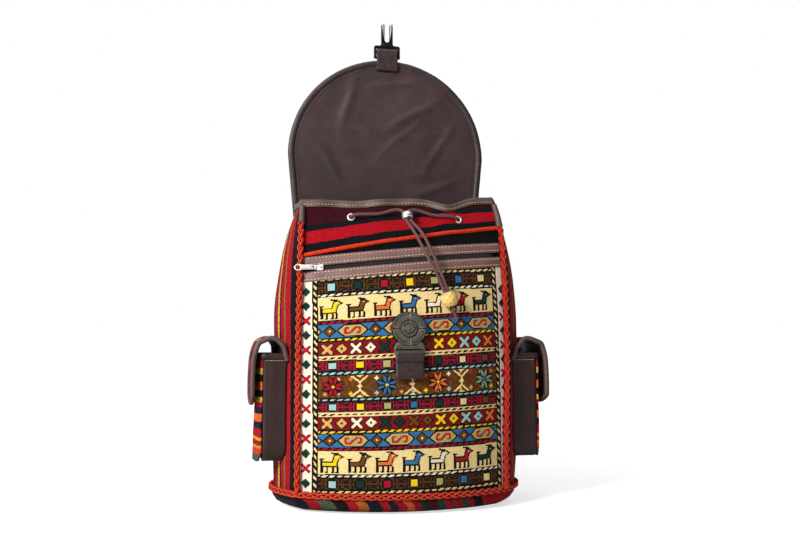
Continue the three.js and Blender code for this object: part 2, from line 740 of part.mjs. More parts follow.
// Tab and fork: the tab's loop holds the fork's bar
const loopHole = 2.4;
const loopOuter = loopHole + LEATHER;
const forkY = bindFrom - GAP - 2 + loopOuter;
function loopOnStem(hole, outerR, stem, drop) {
  const shape = new THREE.Shape();
  shape.moveTo(-outerR, -drop);
  shape.lineTo(-outerR + stem, -drop);
  shape.lineTo(-outerR + stem, -Math.sqrt(outerR * outerR - (outerR - stem) ** 2));
  shape.absarc(0, 0, outerR, Math.PI + Math.acos((outerR - stem) / outerR), Math.PI * 3, false);
  shape.closePath();
  shape.holes.push(new THREE.Path().absarc(0, 0, hole, 0, 2 * Math.PI, true));
  return shape;
}
add(
  "flap_tab",
  barYZ(loopOnStem(loopHole, loopOuter, 2, TAB_LENGTH), TAB_WIDTH).translate(0, forkY, FORK_Z),
  leather,
);
const forkTop = 8.4;
const windowHalf = TAB_WIDTH / 2 + 0.5;
const prongOut = (PRONG_SPACING + PRONG_WIDTH) / 2;
const prongIn = (PRONG_SPACING - PRONG_WIDTH) / 2;
const fork = new THREE.Shape();
fork.moveTo(-FORK_HALF, -9.5);
fork.lineTo(FORK_HALF, -9.5);
fork.lineTo(FORK_HALF, forkTop - 3);
fork.absarc(FORK_HALF - 3, forkTop - 3, 3, 0, Math.PI / 2);
fork.lineTo(prongOut + 2.5, forkTop);
fork.absarc(prongOut + 2.5, forkTop + 2.5, 2.5, Math.PI * 1.5, Math.PI, true);
fork.lineTo(prongOut, forkTop + PRONG_LENGTH - 1);
fork.lineTo(prongOut - 1, forkTop + PRONG_LENGTH);
fork.lineTo(prongIn + 1, forkTop + PRONG_LENGTH);
fork.lineTo(prongIn, forkTop + PRONG_LENGTH - 1);
fork.lineTo(prongIn, forkTop + 8);
fork.absarc(0, forkTop + 8, prongIn, 0, Math.PI, true);
fork.lineTo(-prongIn, forkTop + PRONG_LENGTH - 1);
fork.lineTo(-prongIn - 1, forkTop + PRONG_LENGTH);
fork.lineTo(-prongOut + 1, forkTop + PRONG_LENGTH);
fork.lineTo(-prongOut, forkTop + PRONG_LENGTH - 1);
fork.lineTo(-prongOut, forkTop + 2.5);
fork.absarc(-prongOut - 2.5, forkTop + 2.5, 2.5, 0, -Math.PI / 2, true);
fork.lineTo(-FORK_HALF + 3, forkTop);
fork.absarc(-FORK_HALF + 3, forkTop - 3, 3, Math.PI / 2, Math.PI);
fork.closePath();
fork.holes.push(
  rectangle(-windowHalf, 1.5, windowHalf, 4.4),
  rectangle(-windowHalf, -7, windowHalf, -1.5),
);
add(
  "fork_buckle",
  plateXZ(fork, -FORK_THICK / 2, FORK_THICK / 2, 6).translate(0, forkY, FORK_Z),
  gunmetal,
);

// Lock, drawn in its own frame on the front: X across, Y up along the panel, Z outwards
const lockFrame = new THREE.Group();
const lockOut = normalAt(front, 0, LOCK_Z);
lockFrame.applyMatrix4(turnTo(lockOut).setPosition(front(0, LOCK_Z)));
bag.add(lockFrame);
const lockBase = 0.5;
const backThick = 1.4;
const discFrom = lockBase + backThick + GAP;
const barAt = discFrom + LOCK_THICK / 2;
const disc = new THREE.CylinderGeometry(LOCK_R, LOCK_R, LOCK_THICK, 40).rotateX(Math.PI / 2);
disc.translate(0, 0, barAt);
const buttonHole = new THREE.CylinderGeometry(BUTTON_R + GAP, BUTTON_R + GAP, 20, 24);
const framePlan = rectangle(-LOCK_FRAME_HALF, -LOCK_BAR_DROP - 1.5, LOCK_FRAME_HALF, -LOCK_R + 6);
const strapHalf = LOCK_STRAP_WIDTH / 2;
framePlan.holes.push(
  rectangle(-strapHalf - 0.5, -LOCK_BAR_DROP + 1.5, strapHalf + 0.5, -LOCK_BAR_DROP + 5.5),
);
const frameDepth = { depth: 3, bevelEnabled: false };
const framePlate = new THREE.ExtrudeGeometry(framePlan, frameDepth).translate(0, 0, barAt - 1.5);
add(
  "lock_disc",
  fromManifold(
    manifold(disc).add(manifold(framePlate)).subtract(manifold(buttonHole.rotateX(Math.PI / 2))),
  ),
  gunmetal,
  lockFrame,
);
const lockBack = new THREE.CylinderGeometry(LOCK_R - 2, LOCK_R - 2, backThick, 32);
lockBack.rotateX(Math.PI / 2).translate(0, 0, lockBase + backThick / 2);
add("lock_back", lockBack, gunmetal, lockFrame);
const buttonFrom = discFrom + BUTTON_TRAVEL + 1.3;
const buttonTo = discFrom + LOCK_THICK + 1.4;
const button = new THREE.CylinderGeometry(BUTTON_R, BUTTON_R, buttonTo - buttonFrom, 24);
button.rotateX(Math.PI / 2).translate(0, 0, (buttonFrom + buttonTo) / 2);
add("lock_button", button, gunmetal, lockFrame);
const springProfile = [
  [3.2, discFrom],
  [4.6, discFrom],
  [4.6, discFrom + 1],
  [3.2, discFrom + 1],
  [3.2, discFrom],
].map(([r, h]) => new THREE.Vector2(r, h));
add("lock_spring", new THREE.LatheGeometry(springProfile, 16).rotateX(Math.PI / 2), nickel, lockFrame);
const lockLoopHole = 2.5;
const lockLoopOuter = lockLoopHole + LEATHER;
const strapStem = 2;
const patchFrom = 8;
const strapShape = new THREE.Shape();
const loopSide = Math.acos((lockLoopOuter - strapStem) / lockLoopOuter);
const stemTop = -lockLoopOuter * Math.sin(loopSide);
strapShape.moveTo(-lockLoopOuter, -patchFrom - PATCH_LENGTH);
strapShape.lineTo(-lockLoopOuter + 4, -patchFrom - PATCH_LENGTH);
strapShape.lineTo(-lockLoopOuter + 4, -patchFrom);
strapShape.lineTo(-lockLoopOuter + strapStem, -patchFrom);
strapShape.lineTo(-lockLoopOuter + strapStem, stemTop);
strapShape.absarc(0, 0, lockLoopOuter, Math.PI + loopSide, Math.PI * 3, false);
strapShape.closePath();
strapShape.holes.push(new THREE.Path().absarc(0, 0, lockLoopHole, 0, 2 * Math.PI, true));
const lockStrap = new THREE.ExtrudeGeometry(strapShape, {
  depth: LOCK_STRAP_WIDTH,
  bevelEnabled: false,
  curveSegments: 10,
});
lockStrap.applyMatrix4(new THREE.Matrix4().makeBasis(V(0, 0, 1), V(0, 1, 0), V(-1, 0, 0)));
lockStrap.translate(strapHalf, -LOCK_BAR_DROP, barAt);
add("lock_strap", lockStrap, leather, lockFrame);

// Side pockets: a woven face, a leather band round three sides, a bound top edge and a flap
const pocketWay = (inset) => {
  const y0 = POCKET_FRONT_Y + inset;
  const y1 = POCKET_BACK_Y - inset;
  const z0 = POCKET_BASE_Z + inset;
  const r = 16 - inset;
  const points = [[y0, POCKET_RIM_Z], [y0, mix(POCKET_RIM_Z, z0 + r, 0.5)]];
  for (let i = 0; i <= 4; i++) {
    const turn = Math.PI + (i / 4) * (Math.PI / 2);
    points.push([y0 + r + r * Math.cos(turn), z0 + r + r * Math.sin(turn)]);
  }
  for (const t of [0.25, 0.5, 0.75]) points.push([mix(y0 + r, y1 - r, t), z0]);
  for (let i = 0; i <= 4; i++) {
    const turn = Math.PI * 1.5 + (i / 4) * (Math.PI / 2);
    points.push([y1 - r + r * Math.cos(turn), z0 + r + r * Math.sin(turn)]);
  }
  points.push([y1, mix(POCKET_RIM_Z, z0 + r, 0.5)], [y1, POCKET_RIM_Z]);
  return points;
};
function sideX(y, z) {
  const t = (y - frontSeamY(z)) / (backY(z) - frontSeamY(z));
  return gusset(1)(t, z).x;
}
const pocketX = (y, z) => {
  const a = (2 * y - POCKET_FRONT_Y - POCKET_BACK_Y) / (POCKET_BACK_Y - POCKET_FRONT_Y);
  const b = THREE.MathUtils.clamp((z - POCKET_BASE_Z) / (POCKET_RIM_Z - POCKET_BASE_Z), 0, 1);
  return POCKET_EDGE_X + POCKET_BULGE * (1 - a * a) * (1 - 0.45 * b);
};
for (const [side, sign] of [["left", -1], ["right", 1]]) {
  const bandLoops = pocketWay(0).map(([y, z], i) => {
    const [yi, zi] = pocketWay(LEATHER)[i];
    return [
      V(sign * (sideX(y, z) + 0.8), y, z),
      V(sign * (POCKET_EDGE_X - GAP), y, z),
      V(sign * (POCKET_EDGE_X - GAP), yi, zi),
      V(sign * (sideX(yi, zi) + 0.8), yi, zi),
    ];
  });
  add(side + "_pocket_band", loft(bandLoops), leather);
  const face = (y, z) => V(sign * pocketX(y, z), y, z);
  const across = (a) => mix(POCKET_FRONT_Y, POCKET_BACK_Y, a);
  const faceTop = POCKET_RIM_Z - 7;
  const corner = (a) => 14 * Math.max(0, Math.abs(2 * a - 1) - 0.68) ** 2 * 9.7;
  const facePlace = (a, b) => [across(a), mix(POCKET_BASE_Z + corner(a), faceTop, b)];
  add(side + "_pocket_face", sheet(face, facePlace, 10, 5, 0, CLOTH), kilim);
  const hemPlace = (a, b) => [across(a), mix(faceTop + GAP, POCKET_RIM_Z, b)];
  add(side + "_pocket_binding", sheet(face, hemPlace, 10, 1, -0.1, CLOTH + 0.6), leather);
  // The flap springs from the gusset, arches over the pocket's mouth and hangs over its face.
  const lie = POCKET_EDGE_X + POCKET_BULGE + CLOTH + 1.6;
  const flapRoot = POCKET_RIM_Z + 3;
  const hang = new THREE.SplineCurve(
    [
      [sideX(0, flapRoot) + 2.8, flapRoot],
      [sideX(0, flapRoot + 7) + 3.6, flapRoot + 7],
      [mix(SIDE_HALF, lie, 0.35), POCKET_FLAP_Z - 2.5],
      [mix(SIDE_HALF, lie, 0.72), POCKET_FLAP_Z - 7],
      [lie - 3, POCKET_RIM_Z - 2],
      [lie + 1, POCKET_RIM_Z - 24],
      [lie + 1.6, POCKET_FLAP_END_Z],
    ].map(([x, z]) => new THREE.Vector2(x, z)),
  );
  const flapHalf = 2.1;
  const strip = [[], []];
  for (let i = 0; i <= 16; i++) {
    const p = hang.getPointAt(i / 16);
    const along = hang.getTangentAt(i / 16);
    strip[0].push(V(p.x + along.y * flapHalf, p.y - along.x * flapHalf, 0));
    strip[1].push(V(p.x - along.y * flapHalf, p.y + along.x * flapHalf, 0));
  }
  const flapLoops = strip[0].map((inside, i) => {
    const outside = strip[1][i];
    const yFront = POCKET_FRONT_Y - 3;
    const yBack = POCKET_BACK_Y + 3;
    return [
      V(sign * inside.x, yFront, inside.y),
      V(sign * outside.x, yFront, outside.y),
      V(sign * outside.x, yBack, outside.y),
      V(sign * inside.x, yBack, inside.y),
    ];
  });
  add(side + "_pocket_flap", loft(flapLoops), kilim);
}

// Back: a leather yoke, two shoulder straps with adjusters and tails, and a grab handle
const yokePlace = (a, b) => [mix(-0.72, 0.72, a), mix(FLAP_ROOT_Z - 44, FLAP_ROOT_Z - 1.4, b)];
add("back_yoke", sheet(back, yokePlace, 4, 3, GAP, GAP + 2.4), leather);
const yokeOut = GAP * 2 + 2.4;
function ribbon(points, width, thick, steps) {
  const curve = new THREE.CatmullRomCurve3(points, false, "centripetal");
  const loops = [];
  for (let i = 0; i <= steps; i++) {
    const p = curve.getPointAt(i / steps);
    const along = curve.getTangentAt(i / steps);
    const wide = V(1, 0, 0).addScaledVector(along, -along.x).normalize();
    const deep = along.clone().cross(wide);
    const at = (w, d) =>
      p.clone().addScaledVector(wide, (w * width) / 2).addScaledVector(deep, (d * thick) / 2);
    loops.push([at(-1, -1), at(1, -1), at(1, 1), at(-1, 1)]);
  }
  return loft(loops);
}
const behind = (x, z, out) => V(x, backY(z) + out, z);
for (const [side, sign] of [["left", -1], ["right", 1]]) {
  const lie = yokeOut + STRAP_THICK / 2 + 0.5;
  const strapX = (t) => sign * mix(STRAP_TOP_X, STRAP_END_X, t * t * (3 - 2 * t));
  const run = (t, out) => behind(strapX(t), mix(STRAP_TOP_Z, STRAP_END_Z, t), out);
  const strapEnd = run(1, STRAP_STANDOFF * 0.62);
  add(
    side + "_strap",
    ribbon(
      [run(0, lie), run(0.08, lie + 1), run(0.2, lie + 12), run(0.45, STRAP_STANDOFF),
        run(0.75, STRAP_STANDOFF * 0.93), strapEnd],
      STRAP_WIDTH,
      STRAP_THICK,
      18,
    ),
    kilim,
  );
  const drift = ((STRAP_END_X - STRAP_TOP_X) * 7) / 108; // the tail goes on in the strap's slant
  const tailStart = behind(sign * (STRAP_END_X + drift), STRAP_END_Z - 23, STRAP_STANDOFF * 0.4);
  const slant = tailStart.clone().sub(strapEnd);
  const reach = slant.length();
  const adjuster = rectangle(-19, 1, 19, reach - 0.8);
  adjuster.holes.push(rectangle(-15, 4, 15, 9.5), rectangle(-15, 13, 15, reach - 4.5));
  const plate = new THREE.ExtrudeGeometry(adjuster, { depth: 2.4, bevelEnabled: false });
  const lower = slant.clone().normalize();
  const face = V(1, 0, 0).cross(lower).normalize();
  const wide = lower.clone().cross(face);
  plate.translate(0, 0, -1.2).applyMatrix4(
    new THREE.Matrix4().makeBasis(wide, lower, face).setPosition(strapEnd),
  );
  add(side + "_adjuster", plate, gunmetal);
  const foot = behind(sign * (STRAP_END_X + drift + 5.5), TAIL_END_Z, LEATHER * 2 + 1.9);
  add(
    side + "_strap_tail",
    ribbon(
      [tailStart, tailStart.clone().lerp(foot, 0.55).add(V(0, 1.5, 0)),
        foot.clone().add(V(0, 0.4, 12)), foot],
      TAIL_WIDTH,
      2.4,
      8,
    ),
    kilim,
  );
  const patchPlace = (a, b) => [
    (sign * mix(STRAP_END_X - 12, STRAP_END_X + 28, a)) / BACK_HALF,
    mix(TAIL_END_Z - 16, TAIL_END_Z + 16, b),
  ];
  add(side + "_strap_patch", sheet(back, patchPlace, 2, 2, GAP, GAP + LEATHER * 2), leather);
}
const handleZ = FLAP_ROOT_Z - 22;
const handleBase = yokeOut + 2.2;
add(
  "grab_handle",
  tube(
    [
      behind(-14, FLAP_ROOT_Z - 40, handleBase + 2.2),
      behind(-14, FLAP_ROOT_Z - 24, handleBase + 3),
      behind(-15, handleZ + 16, handleBase + HANDLE_REACH * 0.75),
      behind(-8, handleZ + 22, handleBase + HANDLE_REACH),
      behind(8, handleZ + 22, handleBase + HANDLE_REACH),
      behind(15, handleZ + 16, handleBase + HANDLE_REACH * 0.75),
      behind(14, FLAP_ROOT_Z - 24, handleBase + 3),
      behind(14, FLAP_ROOT_Z - 40, handleBase + 2.2),
    ],
    4,
    28,
    8,
  ),
  leather,
);

export default bag;
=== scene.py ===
import math
import random

import bmesh
import bpy
from mathutils import Matrix, Vector, noise


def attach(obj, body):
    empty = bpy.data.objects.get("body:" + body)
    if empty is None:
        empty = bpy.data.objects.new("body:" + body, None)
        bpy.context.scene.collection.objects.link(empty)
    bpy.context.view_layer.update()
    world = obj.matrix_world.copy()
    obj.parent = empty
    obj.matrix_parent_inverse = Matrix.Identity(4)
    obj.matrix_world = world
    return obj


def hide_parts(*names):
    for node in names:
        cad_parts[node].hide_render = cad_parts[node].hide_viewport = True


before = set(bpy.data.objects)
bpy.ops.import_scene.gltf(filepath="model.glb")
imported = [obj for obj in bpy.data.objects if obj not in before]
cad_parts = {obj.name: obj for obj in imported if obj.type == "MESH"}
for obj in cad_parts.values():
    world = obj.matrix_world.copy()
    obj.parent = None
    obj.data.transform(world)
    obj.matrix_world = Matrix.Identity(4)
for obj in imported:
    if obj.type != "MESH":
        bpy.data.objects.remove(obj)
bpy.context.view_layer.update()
MM = 0.001
SIDES = (("left", -1), ("right", 1))
scene = bpy.context.scene
scene.view_settings.view_transform = "Standard"

# Camera: a 45 mm lens at the height of the bag's middle, a little to the left of its front
camera = bpy.data.objects.new("camera", bpy.data.cameras.new("camera"))
camera.data.lens = 45
camera.data.sensor_width = 36
camera.location = (-0.2222, -1.2393, 0.200)
camera.rotation_euler = (math.radians(94.17), 0, math.radians(-10.5))
scene.collection.objects.link(camera)
scene.camera = camera


# Shapes of the bag's walls in millimetres, as in the CAD model
RIM_Z = 374
SEAM_Z = 18
CLOTH = 3
FRONT_HALF = 126
BACK_HALF = 134
FRONT_LEAN_Z = 120
BACK_LEAN_Z = 160
ZIP_SLOPE = 0.091


def mix(a, b, t):
    return a + (b - a) * t


def eased(z, start, low, high):
    t = max(0.0, (z - start) / (RIM_Z - start))
    return low + (high - low) * t * t


def front_half(z):
    return eased(z, FRONT_LEAN_Z, FRONT_HALF, 120)


def seam_y(z):
    return eased(z, FRONT_LEAN_Z, -60, -28)


def plait_share(z):
    """The share of the front's half width that the plaited seam covers."""
    return eased(z, FRONT_LEAN_Z, 0.009, 0.026)


def back_half(z):
    return eased(z, BACK_LEAN_Z, BACK_HALF, 120)


def back_y(z):
    return eased(z, BACK_LEAN_Z, 66, 50)


def fuller(z):
    """How far the bag's right side, which is packed fuller, stands out beyond its left."""
    low = max(0.0, min(1.0, z / 70))
    high = max(0.0, min(1.0, (RIM_Z - z) / 40))
    return 8 * low * high * (2 - high)


def front(s, z):
    half = front_half(z)
    bulge = eased(z, FRONT_LEAN_Z, 42, 8)
    radius = (half * half + bulge * bulge) / (2 * bulge)
    x = s * half
    if s > 0:
        x += s * s * fuller(z) * max(0.0, min(1.0, (z - 60) / 250))
    seam = seam_y(z)
    return Vector((x, seam - math.sqrt(max(0, radius * radius - x * x)) + radius - bulge, z))


def gusset(side):
    def wall(t, z):
        seam = front(side, z)
        near, far = abs(seam.x), back_half(z)
        out = eased(z, 230, 151, 121) - (near + far) / 2 + (fuller(z) if side > 0 else -2.5)
        y = mix(seam.y, back_y(z), t)
        return Vector((side * (mix(near, far, t) + out * math.sin(math.pi * t)), y, z))
    return wall


def back(s, z):
    return Vector((s * back_half(z), back_y(z), z))


def normal_of(wall, a, b):
    step = 0.01
    across = wall(a + step, b) - wall(a - step, b)
    up = wall(a, b + step) - wall(a, b - step)
    n = across.cross(up).normalized()
    p = wall(a, b)
    return -n if n.x * p.x + n.y * p.y < 0 else n


def raised(wall, a, b, out):
    return wall(a, b) + normal_of(wall, a, b) * out


def bell(x, width):
    return math.exp(-((x / width) ** 2))


# The rim dips between the eyelets and the corners, where the cord gathers the cloth
def rim_dip(x):
    return 0.033 * x - 2.5 * bell(x + 40, 90) - 2.0 * bell(x + 54, 20) - 10 * bell(x - 60, 22)


def ripple(x, z):
    grow = max(0.0, (z - 300) / 74) ** 1.5
    wave = 2.2 * math.sin(x * 0.075 + 0.6) + 1.4 * math.sin(x * 0.16 + 2.1) - 4.5 * bell(x - 58, 17)
    return grow * wave * (1 - (x / 122) ** 4 if abs(x) < 122 else 0)


def around(z, inset, share):
    """A point of the wall's outline at a height, share going round once from the front's left seam."""
    lengths = (0.35, 0.16, 0.33, 0.16)
    start = 0
    for index, length in enumerate(lengths):
        if share < start + length or index == 3:
            t = (share - start) / length
            break
        start += length
    if index == 0:
        return raised(front, 2 * t - 1, z, -inset)
    if index == 1:
        return raised(gusset(1), t, z, -inset)
    if index == 2:
        return raised(back, 1 - 2 * t, z, -inset)
    return raised(gusset(-1), 1 - t, z, -inset)


# Materials, with short names for the kinds of node that come up often
MATH = "ShaderNodeMath"
NOISE = "ShaderNodeTexNoise"
RANGE = "ShaderNodeMapRange"
BLEND = "ShaderNodeMix"
TINTED = {"data_type": "RGBA", "blend_type": "MULTIPLY"}
FOLDED_WAVE = ("SINE", "ABSOLUTE")

# Millimetres to one unit of a UV map, and from one warp or weft thread to the next
CHART = 100
WARP = 2.4
WEFT = 1.1


def linear(code):
    parts = [int(code[i:i + 2], 16) / 255 for i in (1, 3, 5)]
    return (*[c / 12.92 if c <= 0.04045 else ((c + 0.055) / 1.055) ** 2.4 for c in parts], 1)


def put(look, kind, sockets=(), out=0, **settings):
    """Adds a node with its settings, and its sockets linked or set, and gives back one of its outputs."""
    made = look.node_tree.nodes.new(kind)
    for key, value in settings.items():
        setattr(made, key, value)
    for key, value in sockets.items() if isinstance(sockets, dict) else enumerate(sockets):
        if isinstance(value, bpy.types.NodeSocket):
            look.node_tree.links.new(value, made.inputs[key])
        else:
            made.inputs[key].default_value = value
    return made.outputs[out] if made.outputs else made


def new_look(name):
    look = bpy.data.materials.new(name)
    look.use_nodes = True
    look.node_tree.nodes.clear()
    return look


def surface_of(look, **sockets):
    shader = put(look, "ShaderNodeBsdfPrincipled", {k.replace("_", " "): v for k, v in sockets.items()})
    put(look, "ShaderNodeOutputMaterial", {"Surface": shader})
    return look


def kilim(name, bands):
    """Flat-woven wool: stripes of dyed weft with a rib at each warp, dull, the dye uneven by the thread,
    and painted shade darkening the colour in the hollows between the ribs.
    The UV map is in decimetres: stripes change along V and ribs cross them."""
    look = new_look(name)
    chart = put(look, "ShaderNodeUVMap", uv_map="UVMap")
    axes = put(look, "ShaderNodeSeparateXYZ", (chart,)).node.outputs
    along, across = axes[0], axes[1]
    step = put(look, MATH, (along, CHART / WARP), operation="MULTIPLY")
    step = put(look, MATH, (step,), operation="FLOOR")
    ragged = put(look, "ShaderNodeTexWhiteNoise", {"W": step}, noise_dimensions="1D")
    slack = put(look, NOISE, {"Vector": chart, "Scale": CHART / 16.7, "Detail": 2.0})
    place = put(look, MATH, (across, -1.9 / CHART), operation="ADD")
    for unevenness, reach in ((ragged, 0.9), (slack, 3.0)):
        shift = put(look, MATH, (unevenness, reach / CHART), operation="MULTIPLY")
        place = put(look, MATH, (place, shift), operation="ADD")
    total = sum(width for width, code in bands)
    place = put(look, MATH, (place, total / CHART), operation="DIVIDE")
    ramp = put(look, "ShaderNodeValToRGB", (place,)).node
    ramp.color_ramp.interpolation = "CONSTANT"
    stops = ramp.color_ramp.elements
    at = 0
    for index, (width, code) in enumerate(bands):
        stop = stops[0] if index == 0 else stops.new(min(0.999, at / total))
        stop.color = linear(code)
        at += width
    stops[-1].color = linear(bands[-1][1])
    thread = put(look, MATH, (step, 0.37), operation="MULTIPLY")
    tuft = put(look, MATH, (across, 60), operation="MULTIPLY")
    grain = put(look, "ShaderNodeCombineXYZ", (thread, tuft))
    fleck = put(look, NOISE, {"Vector": grain, "Scale": 1.0, "Detail": 3.0})
    shade = put(look, RANGE, (fleck, 0.3, 0.7, 0.62, 1.12))
    colour = put(look, BLEND, {0: 1.0, 6: ramp.outputs[0], 7: shade}, 2, **TINTED)
    waves = []
    for way, apart in ((along, WARP), (across, WEFT)):
        wave = put(look, MATH, (way, CHART * math.pi / apart), operation="MULTIPLY")
        for operation in FOLDED_WAVE:
            wave = put(look, MATH, (wave,), operation=operation)
        waves.append(wave)
    rib, weft = waves
    # painted shade: the colour darkens towards the hollows between the warp ribs
    hollow = put(look, RANGE, (rib, 0.0, 0.55, 0.45, 1.0))
    colour = put(look, BLEND, {0: 1.0, 6: colour, 7: hollow}, 2, **TINTED)
    relief = rib
    for height, share in ((weft, 0.35), (fleck, 0.5)):
        height = put(look, MATH, (height, share), operation="MULTIPLY")
        relief = put(look, MATH, (relief, height), operation="ADD")
    bump = put(look, "ShaderNodeBump", {"Height": relief, "Strength": 0.55, "Distance": 0.6 * MM})
    return surface_of(look, Base_Color=colour, Roughness=0.95, Specular_IOR_Level=0.1, Sheen_Weight=0.03,
                      Sheen_Roughness=0.5, Normal=bump)


def leather(name, code, dark, rough=0.5, crease=0.35, pores=1.3):
    """Oiled cowhide: a fine pebbled grain, soft wide creases and a worn, uneven brown.
    The grain is drawn coarser than the real one, so that it shows."""
    look = new_look(name)
    spot = put(look, "ShaderNodeTexCoord", out="Object")
    cloud = put(look, NOISE, {"Vector": spot, "Scale": 1000 / 45.5, "Detail": 5.0, "Roughness": 0.6})
    pebble = put(look, "ShaderNodeTexVoronoi", {"Vector": spot, "Scale": 1000 / pores})
    fine = put(look, NOISE, {"Vector": spot, "Scale": 1000 / 2.38, "Detail": 3.0})
    fold = put(look, NOISE, {"Vector": spot, "Scale": 1000 / 29.4, "Detail": 3.0, "Distortion": 1.6})
    ridge = put(look, MATH, (fold, 0.5), operation="SUBTRACT")
    ridge = put(look, MATH, (ridge,), operation="ABSOLUTE")
    line = put(look, RANGE, (ridge, 0.0, 0.05, 0.0, 1.0))
    tone = put(look, RANGE, (cloud, 0.3, 0.7))
    base = put(look, BLEND, {0: tone, 6: linear(dark), 7: linear(code)}, 2, data_type="RGBA")
    speck = put(look, RANGE, (fine, 0.35, 0.7, 0.85, 1.12))
    base = put(look, BLEND, {0: 1.0, 6: base, 7: speck}, 2, **TINTED)
    gloss = put(look, RANGE, (cloud, 0.3, 0.7, rough + 0.1, rough - 0.06))
    relief = 0.0
    for height, share in ((pebble, 0.35), (fine, 0.4), (line, crease)):
        height = put(look, MATH, (height, share), operation="MULTIPLY")
        relief = put(look, MATH, (relief, height), operation="ADD")
    bump = put(look, "ShaderNodeBump", {"Height": relief, "Strength": 0.5, "Distance": 0.7 * MM})
    return surface_of(look, Base_Color=base, Roughness=gloss, Specular_IOR_Level=0.4, Normal=bump)


def wool(name, code, dark, twist=1.6):
    """Plied wool yarn: matte, with a slanting twist that shadows itself; that shade between the plies is painted
    into the colour.
    """
    look = new_look(name)
    chart = put(look, "ShaderNodeUVMap", uv_map="UVMap")
    axes = put(look, "ShaderNodeSeparateXYZ", (chart,)).node.outputs
    lean = put(look, MATH, (axes[1], CHART / twist), operation="MULTIPLY")
    lean = put(look, MATH, (axes[0], lean), operation="ADD")
    ply = put(look, MATH, (lean, math.pi), operation="MULTIPLY")
    for operation in FOLDED_WAVE:
        ply = put(look, MATH, (ply,), operation=operation)
    spot = put(look, "ShaderNodeTexCoord", out="Object")
    fuzz = put(look, NOISE, {"Vector": spot, "Scale": 1000 / 3.33, "Detail": 3.0})
    tone = 0.0
    for height, share in ((ply, 0.6), (fuzz, 0.5)):
        height = put(look, MATH, (height, share), operation="MULTIPLY")
        tone = put(look, MATH, (tone, height), operation="ADD")
    # the dark colour is painted shade in the grooves between the plies, with random fuzz mixed in
    base = put(look, BLEND, {0: tone, 6: linear(dark), 7: linear(code)}, 2, data_type="RGBA")
    bump = put(look, "ShaderNodeBump", {"Height": tone, "Strength": 0.6, "Distance": 0.6 * MM})
    return surface_of(look, Base_Color=base, Roughness=0.9, Specular_IOR_Level=0.15, Sheen_Weight=0.05,
                      Normal=bump)


def metal(name, code, dark, rough, patch=3.85, bare=1.0):
    """Plated zinc casting: brighter and duller in small soft patches that fall at random."""
    look = new_look(name)
    spot = put(look, "ShaderNodeTexCoord", out="Object")
    cloud = put(look, NOISE, {"Vector": spot, "Scale": 1000 / patch, "Detail": 5.0})
    tone = put(look, RANGE, (cloud, 0.35, 0.65))
    base = put(look, BLEND, {0: tone, 6: linear(dark), 7: linear(code)}, 2, data_type="RGBA")
    gloss = put(look, RANGE, (cloud, 0.3, 0.7, rough + 0.12, rough - 0.05))
    bump = put(look, "ShaderNodeBump", {"Height": cloud, "Strength": 0.06, "Distance": 0.3 * MM})
    return surface_of(look, Base_Color=base, Metallic=bare, Roughness=gloss, Normal=bump)


def attribute_coloured(name, rough, fuzz_mm, relief_mm, sheen=0.02):
    """Colour worked out point by point and kept in an attribute, with a small thread relief;
    on the braided cord this colour includes painted shade between its carriers.
    """
    look = new_look(name)
    # the attribute holds real colours and, on the braided cord, painted shade
    colour = put(look, "ShaderNodeVertexColor", layer_name="dye_and_painted_shade")
    spot = put(look, "ShaderNodeTexCoord", out="Object")
    fuzz = put(look, NOISE, {"Vector": spot, "Scale": 1000 / fuzz_mm, "Detail": 3.0})
    shade = put(look, RANGE, (fuzz, 0.3, 0.7, 0.8, 1.12))
    base = put(look, BLEND, {0: 1.0, 6: colour, 7: shade}, 2, **TINTED)
    bump = put(look, "ShaderNodeBump", {"Height": fuzz, "Strength": 0.5, "Distance": relief_mm * MM})
    return surface_of(look, Base_Color=base, Roughness=rough, Specular_IOR_Level=0.15, Sheen_Weight=sheen,
                      Normal=bump)


HIDE = leather("brown_cowhide", "#3b2a2a", "#241919", 0.48)
FLAP_HIDE = leather("flap_cowhide", "#453132", "#302224", 0.46, 0.1)
EDGE_HIDE = leather("edge_cowhide", "#614d47", "#453531", 0.5)
STRIP_HIDE = leather("mauve_cowhide", "#86645e", "#65474a", 0.52)
POCKET_HIDE = leather("maroon_cowhide", "#341b19", "#200f0f", 0.5)
NICKEL = metal("nickel_plate", "#e6e4de", "#c8c6c0", 0.2, bare=0.7)
GUNMETAL = metal("antique_gunmetal", "#827e72", "#645f54", 0.3, 16.7, 0.8)
HOLLOW = metal("gunmetal_hollow", "#3a372f", "#25231e", 0.5, 16.7, 0.8)
# painted highlight: a lighter copy of the gunmetal for the lock disc's sloping walls
EDGE_HIGHLIGHT_PAINT = metal("gunmetal_painted_edge_highlight", "#c8c4b6", "#a09c8e", 0.25, 16.7, 0.8)
DARK_METAL = metal("black_nickel", "#3c3a3a", "#201f20", 0.3)
CRIMSON_YARN = wool("crimson_plait_wool", "#d01a22", "#5c0610")
# painted highlight: thin orange lines along the crest of each plaited strand
PLAIT_PAINTED_HIGHLIGHT = wool("orange_plait_painted_highlight", "#f07a30", "#a03c12")
LINE_YARN = wool("orange_red_wool", "#f0401a", "#96160a", 2.6)
